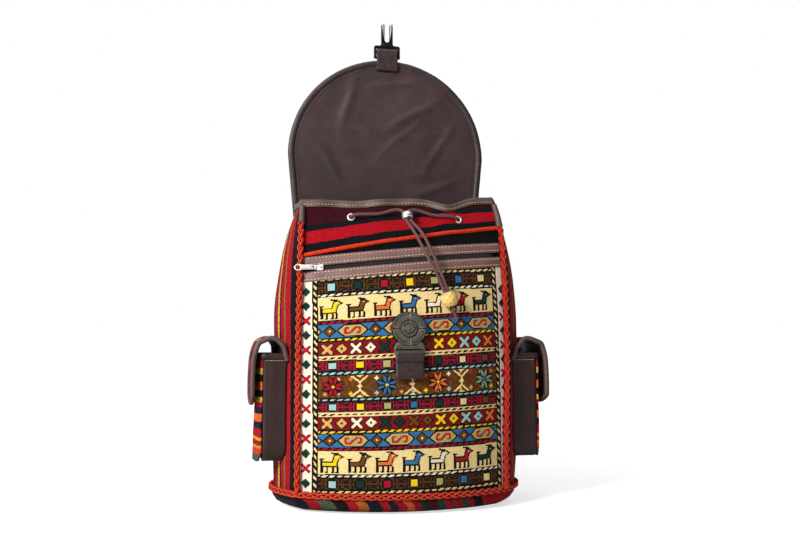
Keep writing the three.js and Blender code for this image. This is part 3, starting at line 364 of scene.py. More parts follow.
# painted shade: a near-black core that shows as the dark gaps between the plaited strands
PLAIT_PAINTED_SHADE = wool("black_core_painted_shade", "#1a1214", "#0a0708")
PALE_THREAD = wool("pale_linen_thread", "#f4e0b4", "#d8b888", 1.2)
DARK_THREAD = wool("dark_linen_thread", "#352626", "#1a1212", 1.2)
TAPE = wool("zip_tape_polyester", "#2c2324", "#151012", 0.9)
COIL = metal("zip_coil_nylon", "#2a2526", "#1a1718", 0.4, bare=0.0)
COTTON = leather("black_cotton_lining", "#2b2424", "#1b1616", 0.85, 0.1, 0.8)
SOUMAK = attribute_coloured("soumak_wool", 0.9, 0.9, 0.5)
CORD = attribute_coloured("braided_polyester_cord", 0.6, 0.6, 0.25)
BEAD = attribute_coloured("carved_bone_bead", 0.45, 1.2, 0.2, 0.0)


# Making pieces
def piece(name, bm, look, nodes=(), body="bag", sharp=None):
    mesh = bpy.data.meshes.new(name)
    bm.to_mesh(mesh)
    bm.free()
    for one in look if isinstance(look, (list, tuple)) else [look]:
        mesh.materials.append(one)
    mesh.polygons.foreach_set("use_smooth", [True] * len(mesh.polygons))
    if sharp:
        mesh.set_sharp_from_angle(angle=math.radians(sharp))
    obj = bpy.data.objects.new(name, mesh)
    scene.collection.objects.link(obj)
    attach(obj, body)
    if nodes:
        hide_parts(*nodes)
    return obj


def thick(obj, wall, offset=-1.0):
    """Gives a sheet its thickness, inwards from the side that its faces show."""
    solid = obj.modifiers.new("thickness", "SOLIDIFY")
    solid.thickness = wall * MM
    solid.offset = offset
    return obj


def part_way(steps, share):
    """The pair of values at a share of the way through a list of evenly spaced pairs."""
    k = share * (len(steps) - 1)
    i = min(len(steps) - 2, int(k))
    return [mix(steps[i][j], steps[i + 1][j], k - i) for j in (0, 1)]


def warp_rib(x, height=0.28):
    """The ribs of the cloth, one over each warp thread."""
    return height * abs(math.sin(math.pi * x / WARP))


def chart_layer(bm):
    return bm.loops.layers.uv.get("UVMap") or bm.loops.layers.uv.new("UVMap")


def laid(columns, rows, place, chart=None, weld=False, bm=None):
    """A grid of cells laid out by place(a, b) in millimetres, a and b going from 0 to 1."""
    bm = bm or bmesh.new()
    uv = chart_layer(bm)
    made = bmesh.ops.create_grid(bm, x_segments=columns, y_segments=rows, size=0.5)["verts"]
    spots = {v: (v.co.x + 0.5, v.co.y + 0.5) for v in made}
    faces = {face for v in made for face in v.link_faces}
    for face in faces:
        for loop in face.loops:
            a, b = spots[loop.vert]
            loop[uv].uv = chart(a, b) if chart else (a, b)
    for v, (a, b) in spots.items():
        v.co = place(a, b) * MM
    if weld:
        bmesh.ops.remove_doubles(bm, verts=made, dist=2e-6)
    return bm


def smooth_path(points, count):
    """Points spaced evenly along a centripetal Catmull-Rom curve through the given ones."""
    fine = []
    ends = [points[0] * 2 - points[1], *points, points[-1] * 2 - points[-2]]
    for p0, p1, p2, p3 in zip(ends, ends[1:], ends[2:], ends[3:]):
        t1 = (p1 - p0).length ** 0.5
        t2 = t1 + (p2 - p1).length ** 0.5
        t3 = t2 + (p3 - p2).length ** 0.5
        for i in range(24):
            t = mix(t1, t2, i / 24)
            a1 = p0 * ((t1 - t) / t1) + p1 * (t / t1)
            a2 = p1 * ((t2 - t) / (t2 - t1)) + p2 * ((t - t1) / (t2 - t1))
            a3 = p2 * ((t3 - t) / (t3 - t2)) + p3 * ((t - t2) / (t3 - t2))
            b1 = a1 * ((t2 - t) / t2) + a2 * (t / t2)
            b2 = a2 * ((t3 - t) / (t3 - t1)) + a3 * ((t - t1) / (t3 - t1))
            fine.append(b1 * ((t2 - t) / (t2 - t1)) + b2 * ((t - t1) / (t2 - t1)))
    fine.append(points[-1])
    run = [0.0]
    for a, b in zip(fine, fine[1:]):
        run.append(run[-1] + (b - a).length)
    out, k = [], 0
    for i in range(count + 1):
        goal = run[-1] * i / count
        while k < len(run) - 2 and run[k + 1] < goal:
            k += 1
        span = run[k + 1] - run[k]
        out.append(fine[k].lerp(fine[k + 1], (goal - run[k]) / span if span else 0))
    return out, run[-1]


def frames_along(path, hint, closed=False):
    """For each point of a path: the point, the way along and two ways across, the last nearest the hint."""
    out = []
    last = len(path) - 1
    for i, p in enumerate(path):
        before = path[i - 1] if i or closed else path[0]
        after = path[(i + 1) % len(path)] if i < last or closed else path[last]
        way = (after - before).normalized()
        up = hint(p)
        up = (up - way * up.dot(way)).normalized()
        out.append((p, way, way.cross(up), up))
    return out


def tube(path, radius, sides, hint, closed=False, bm=None, length=None, bulge=None):
    """A round yarn, cord or roll along a path in millimetres; bulge(turn, index) changes its radius."""
    frames = frames_along(path, hint, closed)
    count = len(frames) if closed else len(frames) - 1
    length = length or sum((b - a).length for a, b in zip(path, path[1:]))

    def place(a, b):
        i = round(b * count)
        p, way, side, up = frames[i % len(frames)]
        turn = math.tau * a
        r = radius(b) if callable(radius) else radius
        if bulge:
            r *= bulge(a, i)
        return p + side * (r * math.cos(turn)) + up * (r * math.sin(turn))

    start = len(bm.verts) if bm else 0
    bm = laid(sides, count, place, lambda a, b: (a, b * length / CHART), True, bm)
    if not closed:
        bm.verts.ensure_lookup_table()
        rims = [e for v in list(bm.verts)[start:] for e in v.link_edges if e.is_boundary]
        bmesh.ops.holes_fill(bm, edges=list(set(rims)), sides=sides)
    return bm


def turned_frame(origin, x, y, z):
    """The place of a part drawn in millimetres with its own X, Y and Z, as a matrix in metres."""
    rows = Matrix((x, y, z)).transposed().to_4x4()
    return Matrix.Translation(origin * MM) @ rows @ Matrix.Scale(MM, 4)


def stitches(spots, length, wide):
    """Sewn stitches: each spot is a point, the way it runs and the way it stands out, in millimetres."""
    bm = bmesh.new()
    chart_layer(bm)
    for p, way, out in spots:
        side = out.cross(way).normalized()
        place = turned_frame(p, way.normalized() * length / 2, side * wide / 2,
                             way.cross(side).normalized() * wide / 2)
        bmesh.ops.create_uvsphere(bm, u_segments=6, v_segments=4, radius=1, matrix=place)
    return bm


def sewn_line(path, pitch, hint, lift=0.0):
    """Spots for a row of stitches along a path of points in millimetres."""
    length = sum((b - a).length for a, b in zip(path, path[1:]))
    fine = smooth_path(path, max(2, round(length / pitch)))[0]
    frames = frames_along(fine, hint)
    return [((p + q[0]) / 2 + up * lift, q[0] - p, up) for (p, way, side, up), q in zip(frames, frames[1:])]


def spun(profile, place, steps=32):
    """A turned part: a profile of (radius, height) in millimetres spun round the local Z of place."""
    bm = bmesh.new()
    chart_layer(bm)
    verts = [bm.verts.new((r, 0, h)) for r, h in profile]
    edges = [bm.edges.new(pair) for pair in zip(verts, verts[1:])]
    bmesh.ops.spin(bm, geom=verts + edges, cent=(0, 0, 0), axis=(0, 0, 1), angle=math.tau, steps=steps,
                   use_merge=True)
    bmesh.ops.remove_doubles(bm, verts=bm.verts, dist=1e-4)
    bmesh.ops.recalc_face_normals(bm, faces=bm.faces)
    bmesh.ops.transform(bm, matrix=place, verts=bm.verts)
    return bm


def plate(outline, thickness, place, edge=0.4, holes=()):
    """A stamped plate: an outline in its own X and Y with a thickness along Z, edges rounded."""
    bm = bmesh.new()
    chart_layer(bm)
    loops = []
    for ring in (outline, *holes):
        verts = [bm.verts.new((x, y, -thickness / 2)) for x, y in ring]
        loops += [bm.edges.new((a, b)) for a, b in zip(verts, verts[1:] + verts[:1])]
    if holes:
        bmesh.ops.triangle_fill(bm, edges=loops, use_beauty=True, use_dissolve=False)
    else:
        bmesh.ops.contextual_create(bm, geom=loops)
    grown = bmesh.ops.extrude_face_region(bm, geom=list(bm.faces))["geom"]
    bmesh.ops.translate(bm, vec=(0, 0, thickness),
                        verts=[g for g in grown if isinstance(g, bmesh.types.BMVert)])
    bmesh.ops.recalc_face_normals(bm, faces=bm.faces)
    if edge:
        crisp = [e for e in bm.edges if len(e.link_faces) == 2 and e.calc_face_angle() > 1.0]
        bmesh.ops.bevel(bm, geom=crisp, offset=edge, segments=2, affect="EDGES", profile=0.5, material=-1,
                        clamp_overlap=True)
    bmesh.ops.transform(bm, matrix=place, verts=bm.verts)
    return bm


def arc(cx, cy, r, start, end, count):
    return [(cx + r * math.cos(math.radians(mix(start, end, i / count))),
             cy + r * math.sin(math.radians(mix(start, end, i / count)))) for i in range(count + 1)]


# The mouth's cord: two ends from the eyelets through the ring into the bead, and the run inside the rim
def points(*values):
    return [Vector(v) * 1000 for v in values]


LEFT_ROUTE = points(
    (-0.06087, -0.04406, 0.34755), (-0.06107, -0.04571, 0.34823), (-0.06135, -0.0481, 0.34921),
    (-0.05452, -0.05048, 0.3511), (-0.02774, -0.05152, 0.35249), (-0.00556, -0.0512, 0.35787),
    (0.00162, -0.05391, 0.35512), (0.00341, -0.05563, 0.35166), (0.00462, -0.05894, 0.34504),
    (0.01254, -0.07263, 0.32717), (0.02416, -0.08364, 0.30104), (0.03652, -0.08926, 0.27484),
    (0.04413, -0.09036, 0.25696), (0.05107, -0.09322, 0.23799))
RIGHT_ROUTE = points(
    (0.06985, -0.04288, 0.34757), (0.07008, -0.04455, 0.34822), (0.07041, -0.04695, 0.34916),
    (0.06361, -0.04947, 0.35103), (0.03833, -0.05088, 0.35244), (0.01768, -0.05097, 0.35785),
    (0.00843, -0.05338, 0.35609), (0.00795, -0.05528, 0.35231), (0.00916, -0.05859, 0.34569),
    (0.02157, -0.07225, 0.32713), (0.03234, -0.08294, 0.30097), (0.04207, -0.0885, 0.27479),
    (0.04837, -0.0892, 0.25833), (0.0553, -0.09206, 0.23936))
INNER_ROUTE = points(
    (-0.06082, -0.04369, 0.3474), (-0.06022, -0.03872, 0.34536), (-0.06553, -0.03287, 0.34341),
    (-0.08351, -0.03428, 0.34535), (-0.10244, -0.0296, 0.34548), (-0.11937, -0.0102, 0.34564),
    (-0.12329, 0.00989, 0.34541), (-0.11885, 0.03228, 0.34538), (-0.10348, 0.04473, 0.34683),
    (-0.04928, 0.04572, 0.34696), (0.04928, 0.04572, 0.34696), (0.10348, 0.04473, 0.34683),
    (0.11885, 0.03228, 0.34538), (0.12329, 0.00989, 0.34541), (0.11937, -0.0102, 0.34564),
    (0.10244, -0.0296, 0.34548), (0.08749, -0.03357, 0.34542), (0.07431, -0.03154, 0.34362),
    (0.0691, -0.03753, 0.34547), (0.0698, -0.04252, 0.34742))
CORD_R = 1.85
# the cord's own colour, then the painted shade for the hollows between its carriers
CORD_LIGHT = Vector(linear("#775553"))
CORD_PAINTED_SHADE = Vector(linear("#2a1a1b"))


def towards_front(p):
    return Vector((0.02, -1, 0.25))


def braided_cord(path, hint=towards_front, radius=CORD_R, bm=None):
    """A round braid: eight carriers crossing two ways, proud where they pass over, with painted shade darkening
    the colour between them.
    """
    def over(a, i):
        return abs(math.sin(math.pi * (a * 6 + i * 0.25))) + abs(math.sin(math.pi * (a * 6 - i * 0.25)))

    bm = tube(path, radius, 12, hint, bm=bm, bulge=lambda a, i: 0.9 + 0.1 * over(a, i))
    tint = bm.loops.layers.float_color.get("dye_and_painted_shade") or bm.loops.layers.float_color.new("dye_and_painted_shade")
    uv = chart_layer(bm)
    length = sum((b - a).length for a, b in zip(path, path[1:]))
    for face in bm.faces:
        for loop in face.loops:
            a, b = loop[uv].uv
            i = b * CHART / length * (len(path) - 1)
            # painted shade: darker where the carriers sink between their crossings
            loop[tint] = CORD_PAINTED_SHADE.lerp(CORD_LIGHT, min(1, over(a, i) * 0.62))
    return bm


cords = {}
for name, route in (("draw_cord_left", LEFT_ROUTE), ("draw_cord_right", RIGHT_ROUTE),
                    ("draw_cord_inner", INNER_ROUTE)):
    reach = smooth_path(route, 10)[1]
    path, reach = smooth_path(route, round(reach / 0.8))
    hint = towards_front if name != "draw_cord_inner" else (lambda p: Vector((0, 0, 1)))
    made = piece(name + "_braided", braided_cord(path, hint), CORD, [name])
    cords[name] = (made, path, reach)

# Ring, bead, knot and the cord's short tail
RING_AT = Vector((6.09, -56.56, 349.78))
RING_WAY = Vector((0.16051, -0.44141, -0.88283)).normalized()
BEAD_AT = Vector((49.99, -91.32, 247.42))
BEAD_WAY = Vector((0.33998, -0.13999, -0.92995)).normalized()


def facing(way, origin, hint=Vector((1, 0, 0))):
    y = way.cross(hint).normalized()
    return turned_frame(origin, y.cross(way), y, way)


ring_profile = [(4.65, -3.6), (5.6, -3.9), (6.4, -3.4), (6.5, -2.6), (6.0, -2.1), (6.6, -1.4), (6.7, 0),
                (6.6, 1.4), (6.0, 2.1), (6.5, 2.6), (6.4, 3.4), (5.6, 3.9), (4.65, 3.6), (4.65, -3.6)]
ring = piece("cord_ring_turned", spun(ring_profile, facing(RING_WAY, RING_AT)), NICKEL, ["cord_ring"],
             sharp=40)

BEAD_R = 10
DIMPLES = 34
bead_bm = bmesh.new()
bmesh.ops.create_icosphere(bead_bm, subdivisions=5, radius=BEAD_R)
hollows = []
for i in range(DIMPLES):
    h = 1 - (2 * i + 1) / DIMPLES
    turn = i * math.pi * (3 - math.sqrt(5))
    hollows.append(Vector((math.sqrt(1 - h * h) * math.cos(turn), math.sqrt(1 - h * h) * math.sin(turn),
                           h)))
bead_tint = bead_bm.verts.layers.float_color.new("dye_and_painted_shade")
for v in bead_bm.verts:
    way = v.co.normalized()
    nearest = max(way.dot(h) for h in hollows)
    away = math.acos(min(1, nearest))
    dip = max(0.0, 1 - (away / 0.23) ** 2)
    lip = bell(away - 0.26, 0.05)
    bore = max(0.0, 1 - math.acos(min(1, abs(way.z))) / 0.55)
    v.co = way * (BEAD_R - 0.55 * dip - 2.2 * bore + 0.15 * lip)
    speck = 0.5 + 0.5 * noise.noise(v.co * 0.35)
    shade = min(1, 0.75 * dip * dip + 0.35 * lip + 0.2 * speck + 0.7 * bore)
    v[bead_tint] = Vector(linear("#f6d88a")).lerp(Vector(linear("#c98a3c")), shade)
bmesh.ops.transform(bead_bm, matrix=facing(BEAD_WAY, BEAD_AT), verts=bead_bm.verts)
bead = piece("bead_carved", bead_bm, BEAD, ["bead"])

knot_side = BEAD_WAY.cross(Vector((0, -1, 0))).normalized()
knot_out = knot_side.cross(BEAD_WAY).normalized()
knot_at = BEAD_AT + BEAD_WAY * 13.4
knot_path = []
for i in range(49):
    turn = math.tau * i / 48
    wide = math.sin(turn) + 1.2 * math.sin(2 * turn)
    tall = math.cos(turn) - 1.2 * math.cos(2 * turn)
    deep = math.sin(3 * turn)
    knot_path.append(knot_at + knot_side * wide * 1.25 + BEAD_WAY * tall * 1.2 - knot_out * deep * 1.3)
knot_bm = braided_cord(knot_path, lambda p: knot_out, 1.55)
tail_path = [knot_at + BEAD_WAY * mix(0, 12.6, i / 16) + knot_side * 0.6 * math.sin(i / 5)
             for i in range(17)]
tail_bm = braided_cord(tail_path, lambda p: knot_out, 1.75, knot_bm)
knot = piece("cord_knot_tied", tail_bm, CORD, ["cord_knot"])
for name, far, pieces_on in (("draw_cord_left", "knot", [ring, bead, knot]),
                             ("draw_cord_right", "knot", []), ("draw_cord_inner", "object", [])):
    made, path, reach = cords[name]

# The embroidered front panel: rows of a traditional soumak bag face, stitch by stitch
DYES = {
    "cream": "#f0d592", "ivory": "#f6ead0", "black": "#0b0809", "navy": "#0f1018", "umber": "#170f0c",
    "brown": "#6e4014", "rust": "#5a3410", "blue": "#346c98", "aqua": "#9cc6be", "green": "#0c3024",
    "crimson": "#a80c26", "red": "#7e0a14", "yellow": "#f6cc16", "olive": "#aea868", "tan": "#d8a85c",
    "orange": "#e06e34", "sage": "#8aa482", "white": "#f2e4c6", "scarlet": "#b4261c",
}
DYE_VALUES = {key: Vector(linear(code)) for key, code in DYES.items()}
FIELD_LEFT = -102.5
FIELD_WIDE = 213
GUARD = 4.9
BAND_ROWS = ("squares", 14), ("goats", 27), ("diamonds", 15.4), ("crosses", 16), ("hooks", 12.6)
GUARD_DYES = (("black", "cream"), ("black", "white"), ("black", "crimson"), ("black", "yellow"),
              ("cream", "black"), ("black", "aqua"))


def field_right(z):
    return 113.2 - 0.006 * z


def panel_rows():
    """The bands from the top: what each is, its top and its bottom in millimetres on the middle line."""
    rows, z = [], 280.5
    half = []
    for guard, band in zip(GUARD_DYES, BAND_ROWS):
        half += [(guard, GUARD), band]
    half.append((GUARD_DYES[5], GUARD))
    for entries, stretch in ((half, 1.03), ([("stars", 26)], 1.0), (half[::-1], 0.976)):
        for kind, height in entries:
            rows.append((kind, z, z - height * stretch))
            z -= height * stretch
    return rows


PANEL_ROWS = panel_rows()


def dash(u, v, pitch, wide):
    """Slanting dashes, as a two-colour twined line shows them."""
    return abs((u - 1.1 * v + pitch * 40) % pitch - pitch / 2) < wide / 2


def box(u, v, x0, x1, y0, y1):
    return x0 <= u <= x1 and y0 <= v <= y1


def diamond(u, v, wide, tall):
    return abs(u) / wide + abs(v) / tall < 1


SQUARE_DYES = ("aqua", "green", "crimson", "yellow", "olive", "blue", "cream")
HOOK_DYES = ("aqua", "yellow", "olive", "blue", "green", "cream", "brown")


def squares(c, v, height, dyes, ground, hook):
    """Seven squares, each held between latch hooks."""
    index = min(6, int(c * 7))
    u = (c * 7 - index - 0.5) * 30.2
    half = height / 2
    if abs(u) < 3.9 and abs(v) < half * 0.56:
        return dyes[index], 0.35
    if abs(u) < 5.0 and abs(v) < half * 0.72:
        return "black", 0
    a, b = abs(u), abs(v)
    bar = box(a, b, 6.1, 7.4, 0, half * 0.84) or box(a, b, 3.4, 7.4, half * 0.68, half * 0.84)
    arm = box(a, b, 7.4, 15.2, 0, half * 0.13)
    tip = box(a, b, 9.6, 10.9, half * 0.3, half * 0.84) or box(a, b, 9.6, 13.0, half * 0.3, half * 0.46)
    knob = box(a, b, 12.6, 15.2, half * 0.68, half * 0.84)
    return (hook, 0.2) if bar or arm or tip or knob else (ground, 0)


GOAT_DYES = ("yellow", "brown", "orange", "blue", "white", "crimson", "green")


def goats(c, v, height):
    """Seven goats walking to the right on cream, drawn with straight outlined bars."""
    index = min(6, int(c * 7))
    u = (c * 7 - index) * 30.2
    w = (v + height / 2 + 0.9) / 1.16
    fill = GOAT_DYES[index]
    lean = 16.9 + (w - 9.4) * 0.34
    body = box(u, w, 4.9, 19.4, 9.2, 12.4)
    neck = abs(u - lean) < 2.1 and 9.2 <= w <= 19.2
    nose = abs(w - 18.0) < 1.9 - (u - 21.4) * 0.5 and 21.4 <= u <= 25.2
    if box(u, w, 20.2, 21.3, 17.6, 18.7):
        return "white", 0.3
    if body or neck or nose:
        return fill, 0.4
    trunk = box(u, w, 3.0, 21.0, 7.8, 13.6) or (abs(u - lean) < 3.7 and 7.8 <= w <= 20.6)
    head = abs(w - 18.0) < 3.0 - (u - 21.4) * 0.42 and 21.0 <= u <= 28.6
    rear = box(u, w, 2.2, 4.9, 2.0, 16.4) or box(u, w, 1.2, 6.6, 15.0, 16.4)
    legs = False
    for x in (3.2, 8.6, 14.8, 19.6):
        legs = legs or box(u, w, x, x + 2.4, 2.0, 8.0) or box(u, w, x - 1.2, x + 2.4, 2.0, 3.4)
    horn = abs(w - 21.5 + (u - 18) * 0.1) < 0.85 and 14.0 <= u <= 22.4
    return ("black", 0.15) if trunk or head or legs or rear or horn else ("cream", 0)


def diamonds(c, v):
    """Small brown diamonds between long cream hexagons that hold a red scroll, on blue."""
    u = ((c - 0.058 + 0.1215) % 0.243 - 0.1215) * FIELD_WIDE
    if diamond(u, v, 1.5, 1.5):
        return "cream", 0.3
    if diamond(u, v, 5.6, 5.6):
        return "brown", 0.35
    if diamond(u, v, 8.0, 7.6):
        return "black", 0
    u = ((c - 0.1795 + 0.1215) % 0.243 - 0.1215) * FIELD_WIDE
    reach = abs(u) + max(0, abs(v) - 0.4) * 1.15
    if reach < 15.5 and abs(v) < 6.0:
        if reach > 13.2 or abs(v) > 5.0:
            return "tan", 0.3
        p, q = (u, v) if u < 0 else (-u, -v)
        curl = abs(q - p * 0.95) < 1.9 and p > -3.6
        curl = curl or box(p, q, -8.8, -2.4, -4.2, -1.8) or box(p, q, -9.6, -7.0, -3.2, 2.8)
        curl = curl or box(p, q, -8.8, -4.4, 1.6, 4.0)
        return ("scarlet", 0.35) if curl else ("olive", 0.2)
    if reach < 18.2 and abs(v) < 7.3:
        return "black", 0
    return "blue", 0


CROSS_DYES = ("tan", "tan", "white", "white", "green", "green", "brown", "brown", "yellow", "yellow",
              "aqua", "aqua", "orange")


def crosses(c, v):
    """Thirteen outlined motifs on red, a cross and a diamond in turn."""
    index = max(0, min(12, round((c - 0.0446) / 0.0757)))
    u = (c - 0.0446 - index * 0.0757) * FIELD_WIDE
    fill = CROSS_DYES[index]
    if index % 2 == 0:
        line, near = abs(abs(u) - abs(v)), max(abs(u), abs(v))
        if line < 2.2 and near < 5.8:
            return fill, 0.35
        return ("black", 0) if line < 3.8 and near < 7.2 else ("red", 0)
    if diamond(u, v, 1.7, 1.7):
        return "black", 0
    if diamond(u, v, 6.2, 5.8):
        return fill, 0.35
    return ("black", 0) if diamond(u, v, 8.2, 7.6) else ("red", 0)


STAR_DYES = ("crimson", "blue", "orange", "sage")
SPRIG_DYES = ("tan", "scarlet", "aqua", "white", "yellow", "orange")


def stars(c, v):
    """Four eight-pointed stars and three cream hourglass figures on brown, with small sprigs between."""
    index = max(0, min(3, round((c - 0.0747) / 0.2815)))
    u = (c - 0.0747 - index * 0.2815) * FIELD_WIDE
    if abs(u) < 13.6:
        if diamond(u, v, 1.9, 1.9):
            return ("blue" if index == 3 else "yellow"), 0.4
        outlined = False
        for k in range(8):
            turn = math.pi / 2 * (k // 2) + (0.32 if k % 2 else -0.32)
            along = u * math.cos(turn) + v * math.sin(turn)
            across = v * math.cos(turn) - u * math.sin(turn)
            if diamond(along - 6.9, across, 5.6, 1.75):
                return STAR_DYES[index], 0.4
            outlined = outlined or diamond(along - 6.6, across, 7.6, 4.2)
        if outlined:
            return "black", 0
    w = ((c - 0.2125 + 0.14075) % 0.2815 - 0.14075) * FIELD_WIDE
    a, b = abs(w), abs(v)
    arms = abs(a - (b - 4.6) * 1.22) < 1.5 and 4.6 <= b < 12.2
    stem = a < 0.9 and b < 5.4
    tip = diamond(a, b - 12.6, 3.6, 2.6)
    if arms or stem or tip or diamond(w, v, 3.3, 3.0):
        return "cream", 0.4
    index = int(c * 15.0)
    p = (c * 15.0 - index - 0.5) * 14.2
    q = abs(v) - 8.6
    if (abs(p) < 0.8 and abs(q) < 2.4) or (abs(q) < 0.8 and abs(p) < 2.4):
        return SPRIG_DYES[(index * 2 + (v > 0)) % 6], 0.35
    return "rust" if noise.noise(Vector((c * 60, v * 0.3, 7))) > -0.12 else "brown", 0


def border_strip(u, z):
    """The ivory side strip: green diamonds and crimson crosses in turn."""
    index = max(0, min(13, round((z - 34.5) / 17.07)))
    v = z - 34.5 - index * 17.07
    if index % 2 == 0 or index == 13:
        return ("green", 0.35) if diamond(u, v, 5.4, 5.8) else ("ivory", 0)
    line, near = abs(abs(u) - abs(v)), max(abs(u), abs(v))
    return ("crimson", 0.35) if line < 2.3 and near < 5.3 else ("ivory", 0)


def soumak(x, z):
    """The dye and the height of the stitch at a place on the panel, in millimetres."""
    z0 = (z - 0.01183 * x) / (1 + 2.2055e-4 * x)
    right = field_right(z)
    if x < FIELD_LEFT or x > right:
        out = FIELD_LEFT - x if x < FIELD_LEFT else x - right
        if out < 6.6:
            on = 1.6 < out < 4.9 and dash(z, out if x < 0 else -out, 8.2, 3.3)
            return ("cream", 0.3) if on else ("black", 0)
        if out < 7.6:
            return "ivory", 0.1
        return border_strip(out - 13.6, z if x < 0 else z - 6)
    c = (x - FIELD_LEFT) / (right - FIELD_LEFT)
    for kind, top, low in PANEL_ROWS:
        if z0 <= top and z0 >= low:
            v = z0 - (top + low) / 2
            height = top - low
            if isinstance(kind, tuple):
                on = abs(v) < 1.15 and dash(x, v * 1.3, 8.3, 5.0)
                return (kind[1], 0.3) if on else (kind[0], 0)
            if kind == "squares":
                return squares(c, v, height, SQUARE_DYES, "umber", "rust")
            if kind == "hooks":
                return squares(c, v, height, HOOK_DYES, "navy", "crimson")
            if kind == "goats":
                return goats(c, v, height)
            if kind == "diamonds":
                return diamonds(c, v)
            return crosses(c, v) if kind == "crosses" else stars(c, v)
    return "black", 0


def panel_spot(a, b):
    s = 2 * a - 1
    z = mix(SEAM_Z + 0.3, 280.2 + ZIP_SLOPE * s * FRONT_HALF, b)
    return s * (1 - plait_share(z)), z


STITCH = 0.86
PANEL_TALL = 262


def panel_place(a, b):
    s, z = panel_spot(a, b)
    x = s * front_half(z)
    sag = 0.9 * noise.noise(Vector((x * 0.02, z * 0.018, 3.0)))
    return raised(front, s, z, soumak(x, z)[1] + sag)


panel_bm = laid(round(2 * FRONT_HALF / STITCH), round(PANEL_TALL / STITCH), panel_place)
shade = random.Random(11)
tint = panel_bm.loops.layers.float_color.new("dye_and_painted_shade")
for face in panel_bm.faces:
    middle = face.calc_center_median() / MM
    colour = DYE_VALUES[soumak(middle.x, middle.z)[0]] * shade.uniform(0.84, 1.06)
    for loop in face.loops:
        loop[tint] = colour
hem = bmesh.ops.extrude_edge_only(panel_bm, edges=[e for e in panel_bm.edges if e.is_boundary])["geom"]
bmesh.ops.translate(panel_bm, vec=(0, CLOTH * MM, 0),
                    verts=[g for g in hem if isinstance(g, bmesh.types.BMVert)])
front_panel = piece("front_panel_soumak", panel_bm, SOUMAK, ["front_panel"])

# The striped kilim above the zip, gathered at the rim
ZIP_Z = 294.5
UPPER_FOOT = 14.3


def orange_line(x):
    return 321.5 + 0.159 * x - 0.0001 * x * x


def stripe_height(x, z):
    return (z - orange_line(x)) / (0.9 - 0.1 * x / 120)


UPPER = kilim("kilim_upper_stripes", [(17, "#08070a"), (12.6, "#0b1014"), (15, "#b80e1e"), (7, "#0b1419"),
                                      (60, "#3c0b15")])


def upper_spot(a, b):
    s = 2 * a - 1
    z = mix(ZIP_Z + ZIP_SLOPE * s * FRONT_HALF + UPPER_FOOT, RIM_Z, b)
    return s * (1 - plait_share(z)), z


def upper_place(a, b, out=0.0):
    s, z = upper_spot(a, b)
    x = s * front_half(z)
    p = raised(front, s, z, out + warp_rib(x) - ripple(x, z))
    return p + Vector((0, 0, rim_dip(x) * b ** 2))


def upper_chart(a, b):
    s, z = upper_spot(a, b)
    x = s * front_half(z)
    return x / CHART, (stripe_height(x, z + rim_dip(x) * b * b) + 17) / CHART


upper = thick(piece("upper_panel_kilim", laid(312, 26, upper_place, upper_chart), UPPER, ["upper_panel"]), CLOTH)


def upper_point(x, z, out):
    low = ZIP_Z + ZIP_SLOPE * x + UPPER_FOOT
    b = max(0.0, min(1.0, (z - low) / (RIM_Z - low)))
    return upper_place((x / front_half(z) / (1 - plait_share(z)) + 1) / 2, b, out)


line_xs = [mix(-117, 118, i / 60) for i in range(61)]
line_path = smooth_path([upper_point(x, orange_line(x), 0.9) for x in line_xs], 300)[0]
line_bm = tube(line_path, 2.6, 8, towards_front,
               bulge=lambda a, i: 0.8 + 0.26 * abs(math.sin(math.pi * (a + i / 4.4))))
piece("upper_panel_line", line_bm, LINE_YARN)

# Gussets: upright stripes of the same cloth
GUSSET_BANDS = [(13, "#0d0a10"), (11, "#b01220"), (1.6, "#40300c"), (2, "#9a8440"), (9, "#b4122a"),
                (4, "#120c12"), (6, "#e0b432"), (9, "#a8124a"), (12, "#8e1020"), (6, "#12161e"),
                (13, "#b01424"), (4, "#d8a030"), (11, "#7c1022"), (5, "#12161e"), (12, "#a81424"),
                (6, "#b0164e"), (40, "#8e1020")]
GUSSET = kilim("kilim_gusset_stripes", GUSSET_BANDS)
for name, side in SIDES:
    wall = gusset(side)

    def gusset_place(a, b):
        z = mix(SEAM_Z + 0.3, RIM_Z, b)
        t = mix(eased(z, FRONT_LEAN_Z, 0.009, 0.044), 0.992, a if side > 0 else 1 - a)
        y_spot = wall(t, z).y
        slump = 1.6 * noise.noise(Vector((y_spot * 0.02, z * 0.016, side * 4.0)))
        rise = rim_dip(120 * side) * (1 - t) * b ** 4
        return raised(wall, t, z, warp_rib(z) + slump * math.sin(math.pi * t)) + Vector((0, 0, rise))

    def gusset_chart(a, b):
        z = mix(SEAM_Z + 0.3, RIM_Z, b)
        t = a if side > 0 else 1 - a
        return z / CHART, t * (back_y(z) - seam_y(z)) * 1.14 / CHART

    cloth = piece(name + "_gusset_kilim", laid(24, 592, gusset_place, gusset_chart), GUSSET,
                  [name + "_gusset"])
    thick(cloth, CLOTH)

# Back panel
BACK = kilim("kilim_back_stripes", [(14, "#7c1022"), (5, "#12161e"), (16, "#a81424"), (4, "#d8a030"),
                                    (10, "#12161e"), (18, "#8e1020"), (5, "#b0164e"), (14, "#42101a"),
                                    (5, "#e0b432"), (16, "#a81424"), (6, "#12161e"), (20, "#7c1022"),
                                    (5, "#e0b432"), (14, "#42101a"), (5, "#b0164e"), (18, "#8e1020"),
                                    (10, "#12161e"), (4, "#d8a030"), (16, "#a81424"), (5, "#12161e"),
                                    (60, "#7c1022")])


def back_place(a, b):
    z = mix(SEAM_Z + 0.3, RIM_Z, b)
    s = mix(0.975, -0.975, a)
    swell = 1.4 * noise.noise(Vector((s * 2.2, z * 0.014, 9.0))) * (1 - s * s)
    return raised(back, s, z, warp_rib(z) - max(0, swell))


